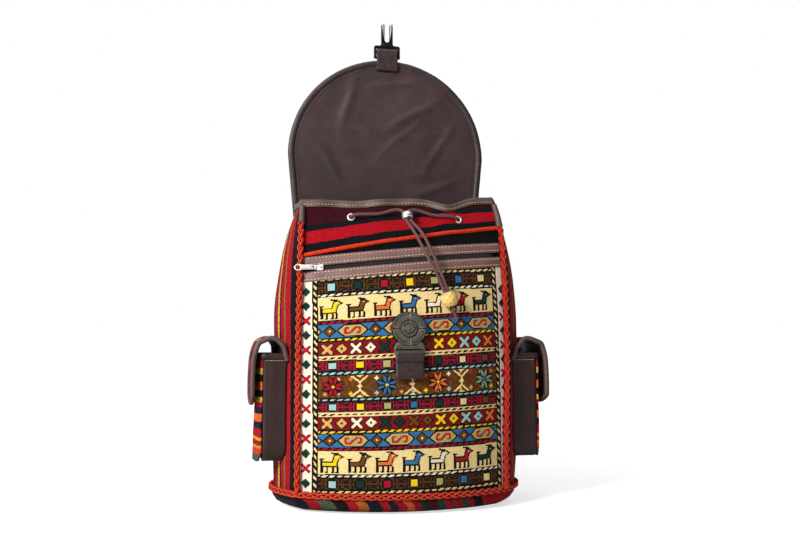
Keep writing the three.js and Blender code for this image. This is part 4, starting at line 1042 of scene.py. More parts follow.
back_panel = piece("back_panel_kilim",
                   laid(24, 592, back_place, lambda a, b: (mix(SEAM_Z, RIM_Z, b) / CHART, a * 2.6)), BACK,
                   ["back_panel"])
thick(back_panel, CLOTH)

# Base: a rounded tray of slanting stripes
BASE = kilim("kilim_base_stripes", [(9, "#a01422"), (12, "#101018"), (10, "#9c1220"), (12, "#4a5a48"),
                                    (12, "#121016"), (9, "#b01424"), (10, "#b0602a"), (14, "#141a26"),
                                    (8, "#a81420"), (9, "#162032"), (10, "#a01020"), (8, "#c05a24"),
                                    (9, "#8e101e"), (11, "#163026"), (12, "#4a0d18"), (9, "#1c4434"),
                                    (12, "#a01422"), (3, "#2c4a3a"), (10, "#9c1220"), (8, "#2c4a3a"),
                                    (10, "#8e101e"), (14, "#121016"), (12, "#a01422")])
BASE_STEPS = ((0, 132), (0, 66), (0, 26), (2.5, 13), (7, 4.4), (13, 0.6), (SEAM_Z + 3, 0))


def base_place(a, b):
    z, inset = part_way(BASE_STEPS, b)
    p = around(max(z, 0.5), 0, a % 1.0)
    middle = Vector((p.x * 0.35, 3 + p.y * 0.05, 0))
    way = middle - Vector((p.x, p.y, 0))
    p += way * min(1.0, inset / max(1.0, way.length))
    bulge = 0.5 + 1.4 * math.sin(math.pi * min(1, z / (SEAM_Z + 6)))
    return Vector((p.x - way.normalized().x * bulge, p.y - way.normalized().y * bulge, z))


def base_chart(a, b):
    p = base_place(a, b)
    return (p.z * 1.2 + p.y * 0.8) / CHART, (p.x + 130 + 0.9 * p.z + (p.y + 60) * 0.5) / CHART


piece("base_panel_kilim", laid(220, 24, base_place, base_chart, True), BASE, ["base_panel"])


# Plaited seams: three crimson strands, each with a thin orange line along its crest as painted highlight,
# crossing over a near-black core that is painted shade in the gaps between them
PLAIT_REPEAT = 33


def plaited(name, path, hint, wide, node, closed=False):
    length = sum((b - a).length for a, b in zip(path, path[1:]))
    turns = round(length / PLAIT_REPEAT)
    frames = frames_along(path, hint, closed)
    count = len(frames)
    bm = tube(path, wide * 0.62, 8, hint, closed, length=length)
    for number in range(6):
        radius, lift = (0.4, 0) if number < 3 else (0.1, 0.37)
        phase = math.tau * (number % 3) / 3
        strand = []
        for i, (p, way, side, up) in enumerate(frames):
            turn = math.tau * turns * i / (count if closed else count - 1) + phase
            rise = 0.34 + lift + 0.3 * math.sin(turn * 2)
            strand.append(p + side * (wide * 0.68 * math.sin(turn)) + up * (wide * rise))
        before = len(bm.faces)
        tube(strand, wide * radius, 6, hint, closed, bm, length)
        bm.faces.ensure_lookup_table()
        for face in bm.faces[before:]:
            # thick strands are crimson; the thin ones on their crests are the orange painted highlight
            face.material_index = 1 if radius > 0.3 else 2
    return piece(name, bm, [PLAIT_PAINTED_SHADE, CRIMSON_YARN, PLAIT_PAINTED_HIGHLIGHT], [node])


def seam_out(side, z):
    return (normal_of(front, side, z) + normal_of(gusset(side), 0, z)).normalized()


BRAID_R = 4.1
SEAM_IN = 0.975
for name, side in SIDES:
    heights = [mix(22, 341, i / 330) for i in range(331)]
    path = [front(side * SEAM_IN, z) + seam_out(side, z) * (BRAID_R * 0.55) for z in heights]
    plaited(name + "_braid_plait", path, lambda p, s=side: seam_out(s, p.z), BRAID_R, name + "_braid")
    heights = [mix(340, 366, i / 12) for i in range(13)]
    path = [front(side * SEAM_IN, z) + seam_out(side, z) * (BRAID_R * 0.6)
            + Vector((0, 0, rim_dip(120 * side) * ((z - 340) / 34))) for z in heights]
    cap_bm = tube(path, lambda b: 4.3 - 0.9 * b, 14, lambda p, s=side: seam_out(s, min(370, p.z)))
    piece(name + "_braid_cap_sleeve", cap_bm, EDGE_HIDE, [name + "_braid_cap"])

base_loop = []
for i in range(900):
    p = around(SEAM_Z, 0, i / 900) + Vector((0, 0, 3.5))
    base_loop.append(p + Vector((p.x, p.y * 1.6, 0)).normalized() * 2.0)
plaited("base_braid_plait", base_loop, lambda p: Vector((p.x, p.y * 1.6, 3)).normalized(), 3.9,
        "base_braid", True)


# Rim binding: folded leather sewn over the top edge
def rim_point(share, out, up):
    p = around(RIM_Z + min(0.0, up), -out, share % 1.0)
    if share % 1.0 < 0.35:
        x = max(-119, min(119, p.x))
        p += Vector((0, ripple(x, RIM_Z), rim_dip(x)))
    elif share % 1.0 < 0.51:
        p += Vector((0, 0, rim_dip(120) * (1 - (share % 1.0 - 0.35) / 0.16)))
    elif share % 1.0 > 0.84:
        p += Vector((0, 0, rim_dip(-120) * (share % 1.0 - 0.84) / 0.16))
    return p + Vector((0, 0, max(0.0, up)))


RIM_PROFILE = ((1.7, -8), (2.3, -4.5), (2.2, -0.6), (1.4, 1.1), (-0.4, 1.9), (-2.6, 1.9), (-4.4, 1.1),
               (-5.2, -0.6), (-5.4, -4.5), (-5.0, -8), (-4.0, -8), (-3.9, -0.4), (0.5, -0.4), (0.6, -8),
               (1.7, -8))


def rim_place(a, b):
    out, up = RIM_PROFILE[round(b * 14)]
    puff = 0.25 * noise.noise(Vector((a * 160, b * 3, 0)))
    return rim_point(a, out + puff, up)


rim_bm = laid(260, 14, rim_place, lambda a, b: (a * 6.6, b * 0.4), True)
bmesh.ops.recalc_face_normals(rim_bm, faces=rim_bm.faces)
piece("rim_binding_leather", rim_bm, EDGE_HIDE, ["rim_binding"])
rim_path = [rim_point(mix(0.004, 0.346, i / 70), 2.6, -5.4) for i in range(71)]
piece("rim_binding_stitches", stitches(sewn_line(rim_path, 4.2, towards_front), 3.0, 0.9), PALE_THREAD)


# Zip: leather facings with two rows of stitches each, tape and coil
def facing_piece(name, low, high, node):
    def place(a, b):
        s = 2 * a - 1
        x = s * FRONT_HALF
        z = ZIP_Z + ZIP_SLOPE * x + mix(low, high, b)
        pillow = 0.5 + 0.75 * math.sin(math.pi * b) ** 0.6 + 0.22 * math.cos(4 * math.pi * b)
        pillow += 0.25 * noise.noise(Vector((x * 0.09, b, low)))
        return raised(front, s * (1 - plait_share(z)), z, pillow)

    strip = piece(name, laid(120, 10, place), STRIP_HIDE, [node])
    thick(strip, 2.4)
    spots = []
    for share in (0.2, 0.8):
        path = [place(mix(0.012, 0.988, i / 50), share) for i in range(51)]
        spots += sewn_line(path, 4.3, towards_front, 0.4)
    piece(name + "_stitches", stitches(spots, 3.2, 1.15), PALE_THREAD)


facing_piece("zip_facing_lower_strip", -15.4, -2.9, "zip_facing_lower")
facing_piece("zip_facing_upper_strip", 2.9, 15.0, "zip_facing_upper")

ZIP_CENTRE = Vector((-5.73, 236.11, 294.38))
ZIP_AXIS = Vector((-0.09267, -0.00133, 0.9957)).normalized()
ZIP_RADIUS = 307.01
ZIP_OUT = (front(0, ZIP_Z) - ZIP_CENTRE).normalized()
ZIP_ALONG = ZIP_AXIS.cross(ZIP_OUT)
ZIP_LEAN = normal_of(front, 0, ZIP_Z).dot(ZIP_AXIS)


def zip_point(turn, out, up):
    out, up = out - ZIP_LEAN * up, up + ZIP_LEAN * out
    return (ZIP_CENTRE + ZIP_OUT * ((ZIP_RADIUS + out) * math.cos(turn))
            + ZIP_ALONG * ((ZIP_RADIUS + out) * math.sin(turn)) + ZIP_AXIS * up)


ZIP_TURN = math.radians(22.1)


def tape_place(a, b):
    up = mix(-3.9, 3.9, b)
    return zip_point(mix(-ZIP_TURN, ZIP_TURN, a), -1.1 + 0.5 * abs(up) / 3.9, up)


tape = piece("zip_chain_tape", laid(90, 8, tape_place, lambda a, b: (b * 6, a * 2.4)), TAPE, ["zip_chain"])
thick(tape, 1.0)
coil_bm = bmesh.new()
chart_layer(coil_bm)
TOOTH_PITCH = 1.7
for i in range(int(2 * ZIP_TURN * ZIP_RADIUS / TOOTH_PITCH)):
    turn = -ZIP_TURN + (i + 0.5) * TOOTH_PITCH / ZIP_RADIUS
    p = zip_point(turn, -0.35, 0.75 if i % 2 else -0.75)
    way = (zip_point(turn + 0.01, 0, 0) - zip_point(turn - 0.01, 0, 0)).normalized()
    out = (zip_point(turn, 1, 0) - zip_point(turn, 0, 0)).normalized()
    place = turned_frame(p, way * 0.75, out.cross(way) * 1.5, out * 0.55)
    bmesh.ops.create_uvsphere(coil_bm, u_segments=6, v_segments=4, radius=1, matrix=place)
piece("zip_chain_coil", coil_bm, COIL)

# Slider and pull
SLIDER_TURN = math.radians(-19.207)
SLIDER_X = Vector((0.94625, -0.31130, 0.08781))
SLIDER_Y = Vector((0.010716, 0.301496, 0.953407))
SLIDER_Z = Vector((-0.32327, -0.90122, 0.28863))
slider_at = (ZIP_CENTRE + ZIP_OUT * (ZIP_RADIUS * math.cos(SLIDER_TURN))
             + ZIP_ALONG * (ZIP_RADIUS * math.sin(SLIDER_TURN)))
slider_frame = turned_frame(slider_at + SLIDER_Z * 1.35, SLIDER_X, SLIDER_Y, SLIDER_Z)
slider_shape = [(-5.7, -2.2), (-5.7, 2.2), (-4.6, 2.7), (2.0, 3.7), (5.0, 3.7), (5.7, 3.0), (5.7, -3.0),
                (5.0, -3.7), (2.0, -3.7), (-4.6, -2.7)]
slider_bm = plate(slider_shape, 1.7, slider_frame, 0.35)
bridge = [(-2.0, 0), (-1.6, 1.0), (-0.6, 1.7), (3.2, 1.7), (4.2, 1.0), (4.6, 0)]
bridge_bm = plate(bridge, 2.4, turned_frame(slider_at + SLIDER_Z * 1.9, SLIDER_X, SLIDER_Z, -SLIDER_Y), 0.3)
bridge_mesh = bpy.data.meshes.new("bridge")
bridge_bm.to_mesh(bridge_mesh)
bridge_bm.free()
slider_bm.from_mesh(bridge_mesh)
bpy.data.meshes.remove(bridge_mesh)
piece("zip_slider_cast", slider_bm, NICKEL, ["zip_slider"], "zip_slider", 35)
PULL_X = Vector((0.99471, -0.10059, 0.02063))
PULL_Z = PULL_X.cross(SLIDER_Y).normalized()
pull_at = Vector((-104.243, -58.613, 286.109))
pull_shape = [(0.4, -2.75), (0.4, 2.75), (-9, 3.0), (-17.5, 3.3), (-19.6, 3.9),
              *arc(-21.7, 0, 4.3, 90, 270, 16), (-19.6, -3.9), (-17.5, -3.3), (-9, -3.0)]
pull_bm = plate(pull_shape, 1.4, turned_frame(pull_at, PULL_X, SLIDER_Y, PULL_Z), 0.3,
                [arc(-21.7, 0, 2.8, 0, 345, 23), arc(-3.0, 0, 1.4, 0, 330, 11)])
piece("zip_pull_stamped", pull_bm, NICKEL, ["zip_pull"], "zip_pull", 35)

# Eyelets
EYELET_Z = 348
EYELET_PROFILE = [(2.5, -4.2), (4.5, -4.2), (4.5, -3.4), (3.0, -3.3), (3.0, 0.3), (4.9, 0.3), (5.2, 0.7),
                  (4.9, 1.2), (4.1, 1.6), (3.2, 1.5), (2.6, 0.9), (2.5, 0), (2.5, -4.2)]
for name, x in (("eyelet_left", -61), ("eyelet_right", 70)):
    s = x / front_half(EYELET_Z)
    n = normal_of(front, s, EYELET_Z)
    piece(name + "_rolled", spun(EYELET_PROFILE, facing(n, front(s, EYELET_Z) + n * 0.2)), NICKEL, [name],
          sharp=50)

# Flap: leather lining, kilim outside, a rolled leather edge
FLAP_Y = 55
FLAP_R = 129
FLAP_Z = 442
FLAP_ROOT_Z = 346
FLAP_SIDE = 96.4
COVER_Y = 59.5
ROLL_Y = 57.2


def flap_edge(share, inset):
    """The flap's outline from its right root over the top to its left root."""
    r = FLAP_R - inset
    side = FLAP_SIDE / (2 * FLAP_SIDE + math.pi * FLAP_R)
    if share < side:
        t = share / side
        return Vector((mix(120 - inset, r, t), 0, mix(FLAP_ROOT_Z, FLAP_Z, t)))
    if share > 1 - side:
        t = (1 - share) / side
        return Vector((-mix(120 - inset, r, t), 0, mix(FLAP_ROOT_Z, FLAP_Z, t)))
    turn = math.pi * (share - side) / (1 - 2 * side)
    return Vector((r * math.cos(turn), 0, FLAP_Z + r * math.sin(turn)))


def flap_wave(x, z):
    """How far the raised flap's leather stands off its plane, with a few soft buckles across it."""
    soft = 2.0 * noise.noise(Vector((x * 0.012, z * 0.012, 1.0)))
    soft += 0.9 * noise.noise(Vector((x * 0.035, z * 0.03, 7.0)))
    crease = 0
    for cx, cz, lean, width, deep in ((35, 500, 0.6, 5, 1.3), (-30, 480, -0.4, 6, 1.0),
                                      (70, 455, 1.1, 4.5, 1.2), (10, 540, 0.25, 5, 0.9),
                                      (-75, 430, -0.9, 5, 0.9), (48, 420, 0.15, 6, 1.1),
                                      (-60, 478, 0.02, 2.2, 0.7), (-66, 455, -0.06, 2.4, 0.7),
                                      (-58, 432, 0.05, 2.2, 0.8), (0, 428, 0.12, 2.4, 0.8),
                                      (62, 474, 0.35, 2.4, 0.7), (-52, 512, 1.4, 6, 1.0),
                                      (20, 470, 0.8, 3, 0.9), (64, 400, 0.5, 5, 1.2)):
        along = (x - cx) * math.cos(lean) + (z - cz) * math.sin(lean)
        off = (z - cz) * math.cos(lean) - (x - cx) * math.sin(lean)
        crease += deep * bell(off + 3 * math.sin(along * 0.06), width) * bell(along, 34)
    return (soft - 1.4 * crease) * min(1.0, (z - FLAP_ROOT_Z) / 60 + 0.1)


def flap_grid(depth, inset, wave):
    """Rows from the root up: each row spans the outline's width at its height."""
    def place(a, b):
        top = FLAP_Z + FLAP_R - inset
        z = FLAP_ROOT_Z + (top - FLAP_ROOT_Z) * math.sin(b * math.pi / 2)
        if z < FLAP_Z:
            half = mix(120, FLAP_R, (z - FLAP_ROOT_Z) / (FLAP_Z - FLAP_ROOT_Z)) - inset
        else:
            half = math.sqrt(max(0.0, (FLAP_R - inset) ** 2 - (z - FLAP_Z) ** 2))
        x = mix(-half, half, a)
        return Vector((x, depth + wave * flap_wave(x, z), z))
    return place


lining_bm = laid(90, 80, flap_grid(FLAP_Y, 3, 1), weld=True)
flap_lining = piece("flap_lining_leather", lining_bm, FLAP_HIDE, ["flap_lining"])
thick(flap_lining, 1.4)
FLAP_KILIM = kilim("kilim_flap_stripes", [(20, "#7c1022"), (6, "#12161e"), (18, "#a81424"), (5, "#e0b432"),
                                          (10, "#12161e"), (22, "#8e1020"), (5, "#f0401a"), (14, "#42101a"),
                                          (6, "#12161e"), (24, "#b01424"), (5, "#d8a030"), (12, "#163026"),
                                          (20, "#8e1020"), (6, "#12161e"), (18, "#a81424"), (5, "#b0164e"),
                                          (60, "#42101a")])


def cover_place(a, b):
    p = flap_grid(COVER_Y, 3, 1)(1 - a, b)
    return p + Vector((0, warp_rib(p.x), 0))


def cover_chart(a, b):
    p = flap_grid(0, 3, 0)(1 - a, b)
    return p.x / CHART, (p.z - FLAP_ROOT_Z) / CHART


cover = piece("flap_cover_kilim", laid(320, 50, cover_place, cover_chart, True), FLAP_KILIM, ["flap_cover"])
thick(cover, 2.4)
edge_path = []
for i in range(161):
    p = flap_edge(i / 160, 2.6)
    edge_path.append(Vector((p.x, ROLL_Y + flap_wave(p.x, p.z), p.z)))


def flap_out(p):
    return Vector((0, -1, 0))


def rolled(a, i):
    uneven = 1 + 0.05 * noise.noise(Vector((i * 0.3, a * 4, 0)))
    return (1.0 + 0.28 * abs(math.cos(math.tau * a))) * uneven


piece("flap_binding_roll", tube(edge_path, 3.5, 12, flap_out, bulge=rolled), HIDE, ["flap_binding"])
seam_path = []
for i in range(121):
    p = flap_edge(mix(0.02, 0.98, i / 120), 10)
    seam_path.append(Vector((p.x, FLAP_Y - 0.15 + flap_wave(p.x, p.z), p.z)))
piece("flap_stitches", stitches(sewn_line(seam_path, 3.6, flap_out), 2.5, 0.75), DARK_THREAD)

# Tab and fork at the flap's tip
FORK_Z = 584
FORK_Y = 55.85
TAB_LOOP = [(-3.2, -26), (-3.4, -18), (-3.2, -9), (-3.6, -4), (-3.7, 0), (-2.6, 2.8), (0, 3.9), (2.6, 2.8),
            (3.6, 0), (3.2, -4), (1.4, -6.4), (-0.7, -8), (-1.0, -12), (-1.2, -20), (-1.2, -26)]


def tab_place(a, b):
    x = mix(-14, 14, a) * (1 - 0.03 * math.sin(math.pi * b))
    y, z = part_way(TAB_LOOP, b)
    crumple = 0.35 * noise.noise(Vector((x * 0.16, z * 0.3, 5)))
    return Vector((x, FORK_Y + y + crumple, FORK_Z + z))


tab = piece("flap_tab_leather", laid(24, 56, tab_place), HIDE, ["flap_tab"])
thick(tab, 1.3, 0)
tab_spots = []
for drop in (11.5, 15.5):
    tab_spots += sewn_line([Vector((x, FORK_Y - 4.1, FORK_Z - drop)) for x in (-12, -6, 0, 6, 12)], 3.4,
                           flap_out)
piece("flap_tab_stitches", stitches(tab_spots, 2.5, 0.8), DARK_THREAD)
fork_frame = turned_frame(Vector((0, FORK_Y, FORK_Z)), Vector((1, 0, 0)), Vector((0, 0, 1)),
                          Vector((0, -1, 0)))
right_side = [(17.6, -8.5), (17.6, 4.4), *arc(14.6, 5.4, 3, 0, 90, 5), (10.4, 8.4),
              *arc(10.4, 10.9, 2.5, 270, 180, 5)[1:], (7.85, 36.4), (7.2, 38.2), (5.6, 38.6), (3.9, 38.2),
              (3.15, 36.4), (3.15, 16.4)]
bottom = arc(0, 16.4, 3.15, 0, -180, 8)[1:-1]
fork_shape = [(-16.6, -9.5), (16.6, -9.5), *right_side, *bottom, *[(-x, y) for x, y in right_side[::-1]]]
fork_bm = plate(fork_shape, 3, fork_frame, 0.6, [[(-14.5, 1.5), (14.5, 1.5), (14.5, 4.4), (-14.5, 4.4)],
                                                 [(-14.5, -7), (14.5, -7), (14.5, -1.5), (-14.5, -1.5)]])
for face in fork_bm.faces:
    if face.calc_center_median().z / MM > FORK_Z + 29:
        face.material_index = 1
piece("fork_buckle_cast", fork_bm, [DARK_METAL, NICKEL], ["fork_buckle"], "fork", 35)

# Lock: a cast disc with rings and cross grooves, a plain button, and the frame that the strap holds
LOCK_UP = Vector((0, 0.18498, 0.98274))
LOCK_OUT = Vector((0, -0.98274, 0.18498))
LOCK_AT = Vector((0, -93.34, 212))
lock_frame = turned_frame(LOCK_AT, Vector((1, 0, 0)), LOCK_UP, LOCK_OUT)
LOCK_R = 20.7
LOCK_RINGS = (6.35, 6.9, 7.1, 8.1, 9.1, 9.3, 9.9, 10.5, 10.7, 12.1, 12.4, 16.5, 16.7, 17.4, 17.6, 19.3,
              19.6, 20.4, LOCK_R, LOCK_R, 20.2, 12, 6.35, 6.35)
FACE_RINGS = 18
LOCK_SIDE = (5.6, 2.9, 2.2, 2.2, 2.2, 6.4)


def lock_height(r, turn):
    """Height of the disc's face: a rim, a flat ring cut by grooves and arcs, and a raised inner ring."""
    quarter = abs((turn + math.pi / 4) % (math.pi / 2) - math.pi / 4)
    groove = r * quarter < 0.85 and r > 9.8
    h = 7.4
    if r > 19.4:
        h = 6.3
    elif 16.6 < r < 17.5 and quarter > 0.16:
        h = 6.5
    if groove:
        h = min(h, 6.0)
    if 10.6 <= r < 12.2:
        h = min(h, 6.9)
    if 9.2 < r < 10.6:
        h = 5.9
    if 7.0 < r <= 9.2:
        h = 8.2 if quarter > 0.2 else 6.9
    return h


def lock_place(a, b):
    turn = math.tau * a
    k = round(b * (len(LOCK_RINGS) - 1))
    r = LOCK_RINGS[k]
    if k < FACE_RINGS:
        h = lock_height(r, turn)
    else:
        h = LOCK_SIDE[k - FACE_RINGS]
    if k == 0:
        h = 6.4
    step = abs((turn + math.pi / 8) % (math.pi / 4) - math.pi / 8)
    edge = 1 - 0.045 * (step * 20 < 1.3) if r > 19 else 1
    return lock_frame @ Vector((r * edge * math.cos(turn), r * edge * math.sin(turn), h)) / MM


lock_bm = laid(192, 23, lock_place, weld=True)
bmesh.ops.recalc_face_normals(lock_bm, faces=lock_bm.faces)
# Sloping walls of the raised parts take the lighter copy of the metal as painted highlight; the low faces take
# the darker, duller copy
for face in lock_bm.faces:
    height = (face.calc_center_median() / MM - LOCK_AT).dot(LOCK_OUT)
    if face.normal.dot(LOCK_OUT) < 0.8 and height > 6.2:
        face.material_index = 2
    elif height < 6.6:
        face.material_index = 1
piece("lock_disc_cast", lock_bm, [GUNMETAL, HOLLOW, EDGE_HIGHLIGHT_PAINT], ["lock_disc"], "lock", 30)
LOCK_BAR = -29.5
frame_shape = [(-17.9, LOCK_BAR - 1.5), (17.9, LOCK_BAR - 1.5), (17.9, -21.5), (15.6, -16.8), (12.6, -15.2),
               (-12.6, -15.2), (-15.6, -16.8), (-17.9, -21.5)]
frame_hole = [(-16.2, LOCK_BAR + 1.5), (16.2, LOCK_BAR + 1.5), (16.2, LOCK_BAR + 5.5),
              (-16.2, LOCK_BAR + 5.5)]
frame_place = turned_frame(LOCK_AT + LOCK_OUT * 4.8, Vector((1, 0, 0)), LOCK_UP, LOCK_OUT)
piece("lock_frame_cast", plate(frame_shape, 3, frame_place, 0.7, [frame_hole]), GUNMETAL, (), "lock",
      35)
BUTTON_PROFILE = [(0, 5.1), (6.0, 5.1), (6.0, 7.6), (5.6, 8.3), (4.6, 8.4), (4.1, 7.9), (3.4, 7.9),
                  (2.9, 8.5), (0, 8.7)]
piece("lock_button_cast", spun(BUTTON_PROFILE, lock_frame, 40), GUNMETAL, ["lock_button"], "lock_button",
      30)
for name, look in (("lock_back", GUNMETAL), ("lock_spring", NICKEL), ("left_adjuster", DARK_METAL),
                   ("right_adjuster", DARK_METAL)):
    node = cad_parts[name]
    node.data.materials.clear()
    node.data.materials.append(look)
    weld = node.modifiers.new("weld", "WELD")
    weld.merge_threshold = 1e-5
    soft_edge = node.modifiers.new("edge", "BEVEL")
    soft_edge.width = 0.0005
    soft_edge.segments = 2

STRAP_LOOP = ((-3.9, -28), (-4.1, -18), (-3.7, -8), (-4.1, -3), (-3.9, 0), (-2.8, 2.8), (0, 4.0),
              (2.8, 2.8), (4.0, 0), (3.6, -3.6), (1.6, -6.6), (0.3, -8.4), (-0.1, -9), (-0.1, -28),
              (-2.0, -28.3))


def lock_strap_place(a, b):
    x = mix(16, -16, a)
    out, up = part_way(STRAP_LOOP, b)
    soft = 0.3 * noise.noise(Vector((x * 0.15, up * 0.25, 2)))
    return lock_frame @ Vector((x, LOCK_BAR + up, 4.8 + out + soft)) / MM


strap = piece("lock_strap_leather", laid(26, 60, lock_strap_place), HIDE, ["lock_strap"])
thick(strap, 1.3, 0)


def strap_spot(x, drop):
    return lock_frame @ Vector((x, LOCK_BAR - drop, 5.5)) / MM


corner = [strap_spot(*c) for c in ((-14, 10), (14, 10), (14, 26), (-14, 26))]
patch_spots = []
for i, j in ((0, 1), (1, 2), (2, 3), (3, 0), (0, 2), (1, 3)):
    patch_spots += sewn_line([corner[i], corner[i].lerp(corner[j], 0.5), corner[j]], 3.0,
                             lambda p: LOCK_OUT)
piece("lock_strap_stitches", stitches(patch_spots, 2.2, 0.7), DARK_THREAD)

# Side pockets
POCKET_BANDS = [(9, "#4a5a50"), (7, "#d8401e"), (3, "#c8a040"), (6, "#a81424"), (4, "#e0b432"),
                (10, "#b01424"), (8, "#141a2c"), (9, "#ee6a28"), (8, "#141a2c"), (6, "#b01424"),
                (6, "#dcb432"), (8, "#141018"), (10, "#ee6a28"), (9, "#141018"), (7, "#dcb432"),
                (9, "#a81424"), (40, "#8e1020")]
POCKET = kilim("kilim_pocket_stripes", POCKET_BANDS)
POCKET_FLAP = kilim("kilim_pocket_flap_stripes", [(14, "#a8123a"), (6, "#141018"), (12, "#b01424"),
                                                  (4, "#dcb432"), (12, "#8e1020"), (6, "#141a2c"),
                                                  (12, "#b0164e"), (40, "#7c1022")])
POCKET_FORE = -40
POCKET_REAR = 45
POCKET_LOW = 56
POCKET_TOP = 184
POCKET_OUT = 164.5
HEM_Z = 180.5


def side_x(y, z, side):
    low, high = front(side, z).y, back_y(z)
    return abs(gusset(side)((y - low) / (high - low), z).x)


def pocket_x(y, z, side):
    a = (2 * y - 5) / 85
    b = max(0, min(1, (z - POCKET_LOW) / 128))
    return POCKET_OUT + 7.5 * (1 - a * a) * (1 - 0.45 * b) + (fuller(z) if side > 0 else 0)


def pocket_way():
    """The pocket's three sides from its front top down, along its base and up its back: Y and Z."""
    way = [Vector((POCKET_FORE, POCKET_TOP, 0)), Vector((POCKET_FORE, 128, 0)),
           Vector((POCKET_FORE, 72, 0))]
    way += [Vector((x, y, 0)) for x, y in arc(-24, 72, 16, 180, 270, 6)[1:]]
    way += [Vector((2, POCKET_LOW, 0)), Vector((29, POCKET_LOW, 0))]
    way += [Vector((x, y, 0)) for x, y in arc(29, 72, 16, 270, 360, 6)[1:]]
    way += [Vector((POCKET_REAR, 128, 0)), Vector((POCKET_REAR, POCKET_TOP, 0))]
    return smooth_path(way, 80)[0]


POCKET_LINE = pocket_way()
for name, sign in SIDES:
    shift = fuller(150) if sign > 0 else 0
    hang = [(side_x(0, 175, sign) + 2.4, 175), (side_x(0, 187, sign) + 2.8, 187),
            (side_x(0, 194, sign) + 3.8, 194), (159.5 + shift, 202), (168.5 + shift, 198),
            (174.6 + shift, 183), (176.8 + shift, 160), (177.2 + shift, 124)]
    hang = smooth_path([Vector((x, z, 0)) for x, z in hang], 60)[0]

    def band_place(a, b):
        p = POCKET_LINE[round((a if sign > 0 else 1 - a) * 80)]
        x = mix(side_x(p.x, p.y, sign) + 0.6, POCKET_OUT + shift, b)
        dent = 0.7 * noise.noise(Vector((p.x * 0.05, p.y * 0.04, b * 2))) * math.sin(math.pi * b)
        return Vector((sign * x, p.x + dent, p.y))

    band = piece(name + "_pocket_band_leather", laid(80, 10, band_place), POCKET_HIDE,
                 [name + "_pocket_band"])
    thick(band, 1.6)

    def face_place(a, b):
        a = a if sign > 0 else 1 - a
        y = mix(POCKET_FORE, POCKET_REAR, a)
        low = POCKET_LOW + 135.8 * max(0, abs(2 * a - 1) - 0.68) ** 2
        z = mix(low, 177, b)
        slack = 0.8 * noise.noise(Vector((y * 0.04, z * 0.03, 1)))
        return Vector((sign * (pocket_x(y, z, sign) + 2.7 + warp_rib(y) + slack), y, z))

    def face_chart(a, b):
        p = face_place(a, b)
        return p.y / CHART, (p.z - POCKET_LOW) / CHART

    face_cloth = piece(name + "_pocket_face_kilim", laid(140, 40, face_place, face_chart), POCKET,
                       [name + "_pocket_face"])
    thick(face_cloth, 2.7)
    hem_path = []
    for i in range(25):
        y = mix(-38, 43, i / 24)
        hem_path.append(Vector((sign * (pocket_x(y, 180, sign) + 1.6), y, HEM_Z)))
    fore, rear = [], []
    for i in range(6):
        for run, y in ((fore, POCKET_FORE), (rear, POCKET_REAR)):
            run.append(Vector((sign * mix(side_x(y, 181, sign) + 1, 163 + shift, i / 5), y, HEM_Z)))
    hem_path = smooth_path(fore + hem_path + rear[::-1], 90)[0]
    hem_bm = tube(hem_path, 1.9, 10, lambda p: Vector((0, 0, 1)),
                  bulge=lambda a, i: 1 + 1.15 * abs(math.sin(math.tau * a)))
    piece(name + "_pocket_binding_roll", hem_bm, POCKET_HIDE, [name + "_pocket_binding"])
    ends = side_x(POCKET_FORE, 176, sign) + 2.5, 162 + shift
    row = sewn_line([Vector((sign * mix(*ends, i / 6), -40.7, 175.6)) for i in range(7)], 3.0, flap_out)
    piece(name + "_pocket_stitches", stitches(row, 2.3, 0.8), PALE_THREAD)

    def flap_spot(a, b, out):
        i = round(b * 60)
        p = hang[i]
        q, r = hang[max(0, i - 1)], hang[min(60, i + 1)]
        way = (r - q).normalized()
        end = max(0.0, (b - 0.72) / 0.28)
        y = mix(-43, 48, a)
        drop = 9 * end * abs(2 * a - 1) ** 3
        root = max(0.0, 1 - b / 0.36) ** 0.7
        sewn = root * (side_x(y, p.y, sign) - side_x(0, p.y, sign))
        return Vector((sign * (p.x + sewn - way.y * out), y, p.y + way.x * out + drop))

    def pocket_flap_place(a, b):
        rib = warp_rib(mix(-43, 48, a), 0.25)
        return flap_spot(1 - a if sign > 0 else a, b, 1.6 + rib)

    flap_bm = laid(150, 60, pocket_flap_place, lambda a, b: (a * 0.9, b * 1.0))
    flap_cloth = piece(name + "_pocket_flap_kilim", flap_bm, POCKET_FLAP, [name + "_pocket_flap"])
    thick(flap_cloth, 1.7)
    inside = piece(name + "_pocket_flap_lining",
                   laid(30, 60, lambda a, b: flap_spot(a if sign > 0 else 1 - a, b, -1.4)), POCKET_HIDE)
    thick(inside, 1.2)
    run = [flap_spot(0, i / 40, 0) for i in range(41)] + [flap_spot(i / 30, 1, 0) for i in range(1, 30)]
    run += [flap_spot(1, 1 - i / 40, 0) for i in range(41)]
    run = smooth_path(run, 220)[0]
    piece(name + "_pocket_flap_edge", tube(run, 3.1, 10, lambda p: Vector((sign, -0.3, 0.4))), EDGE_HIDE)


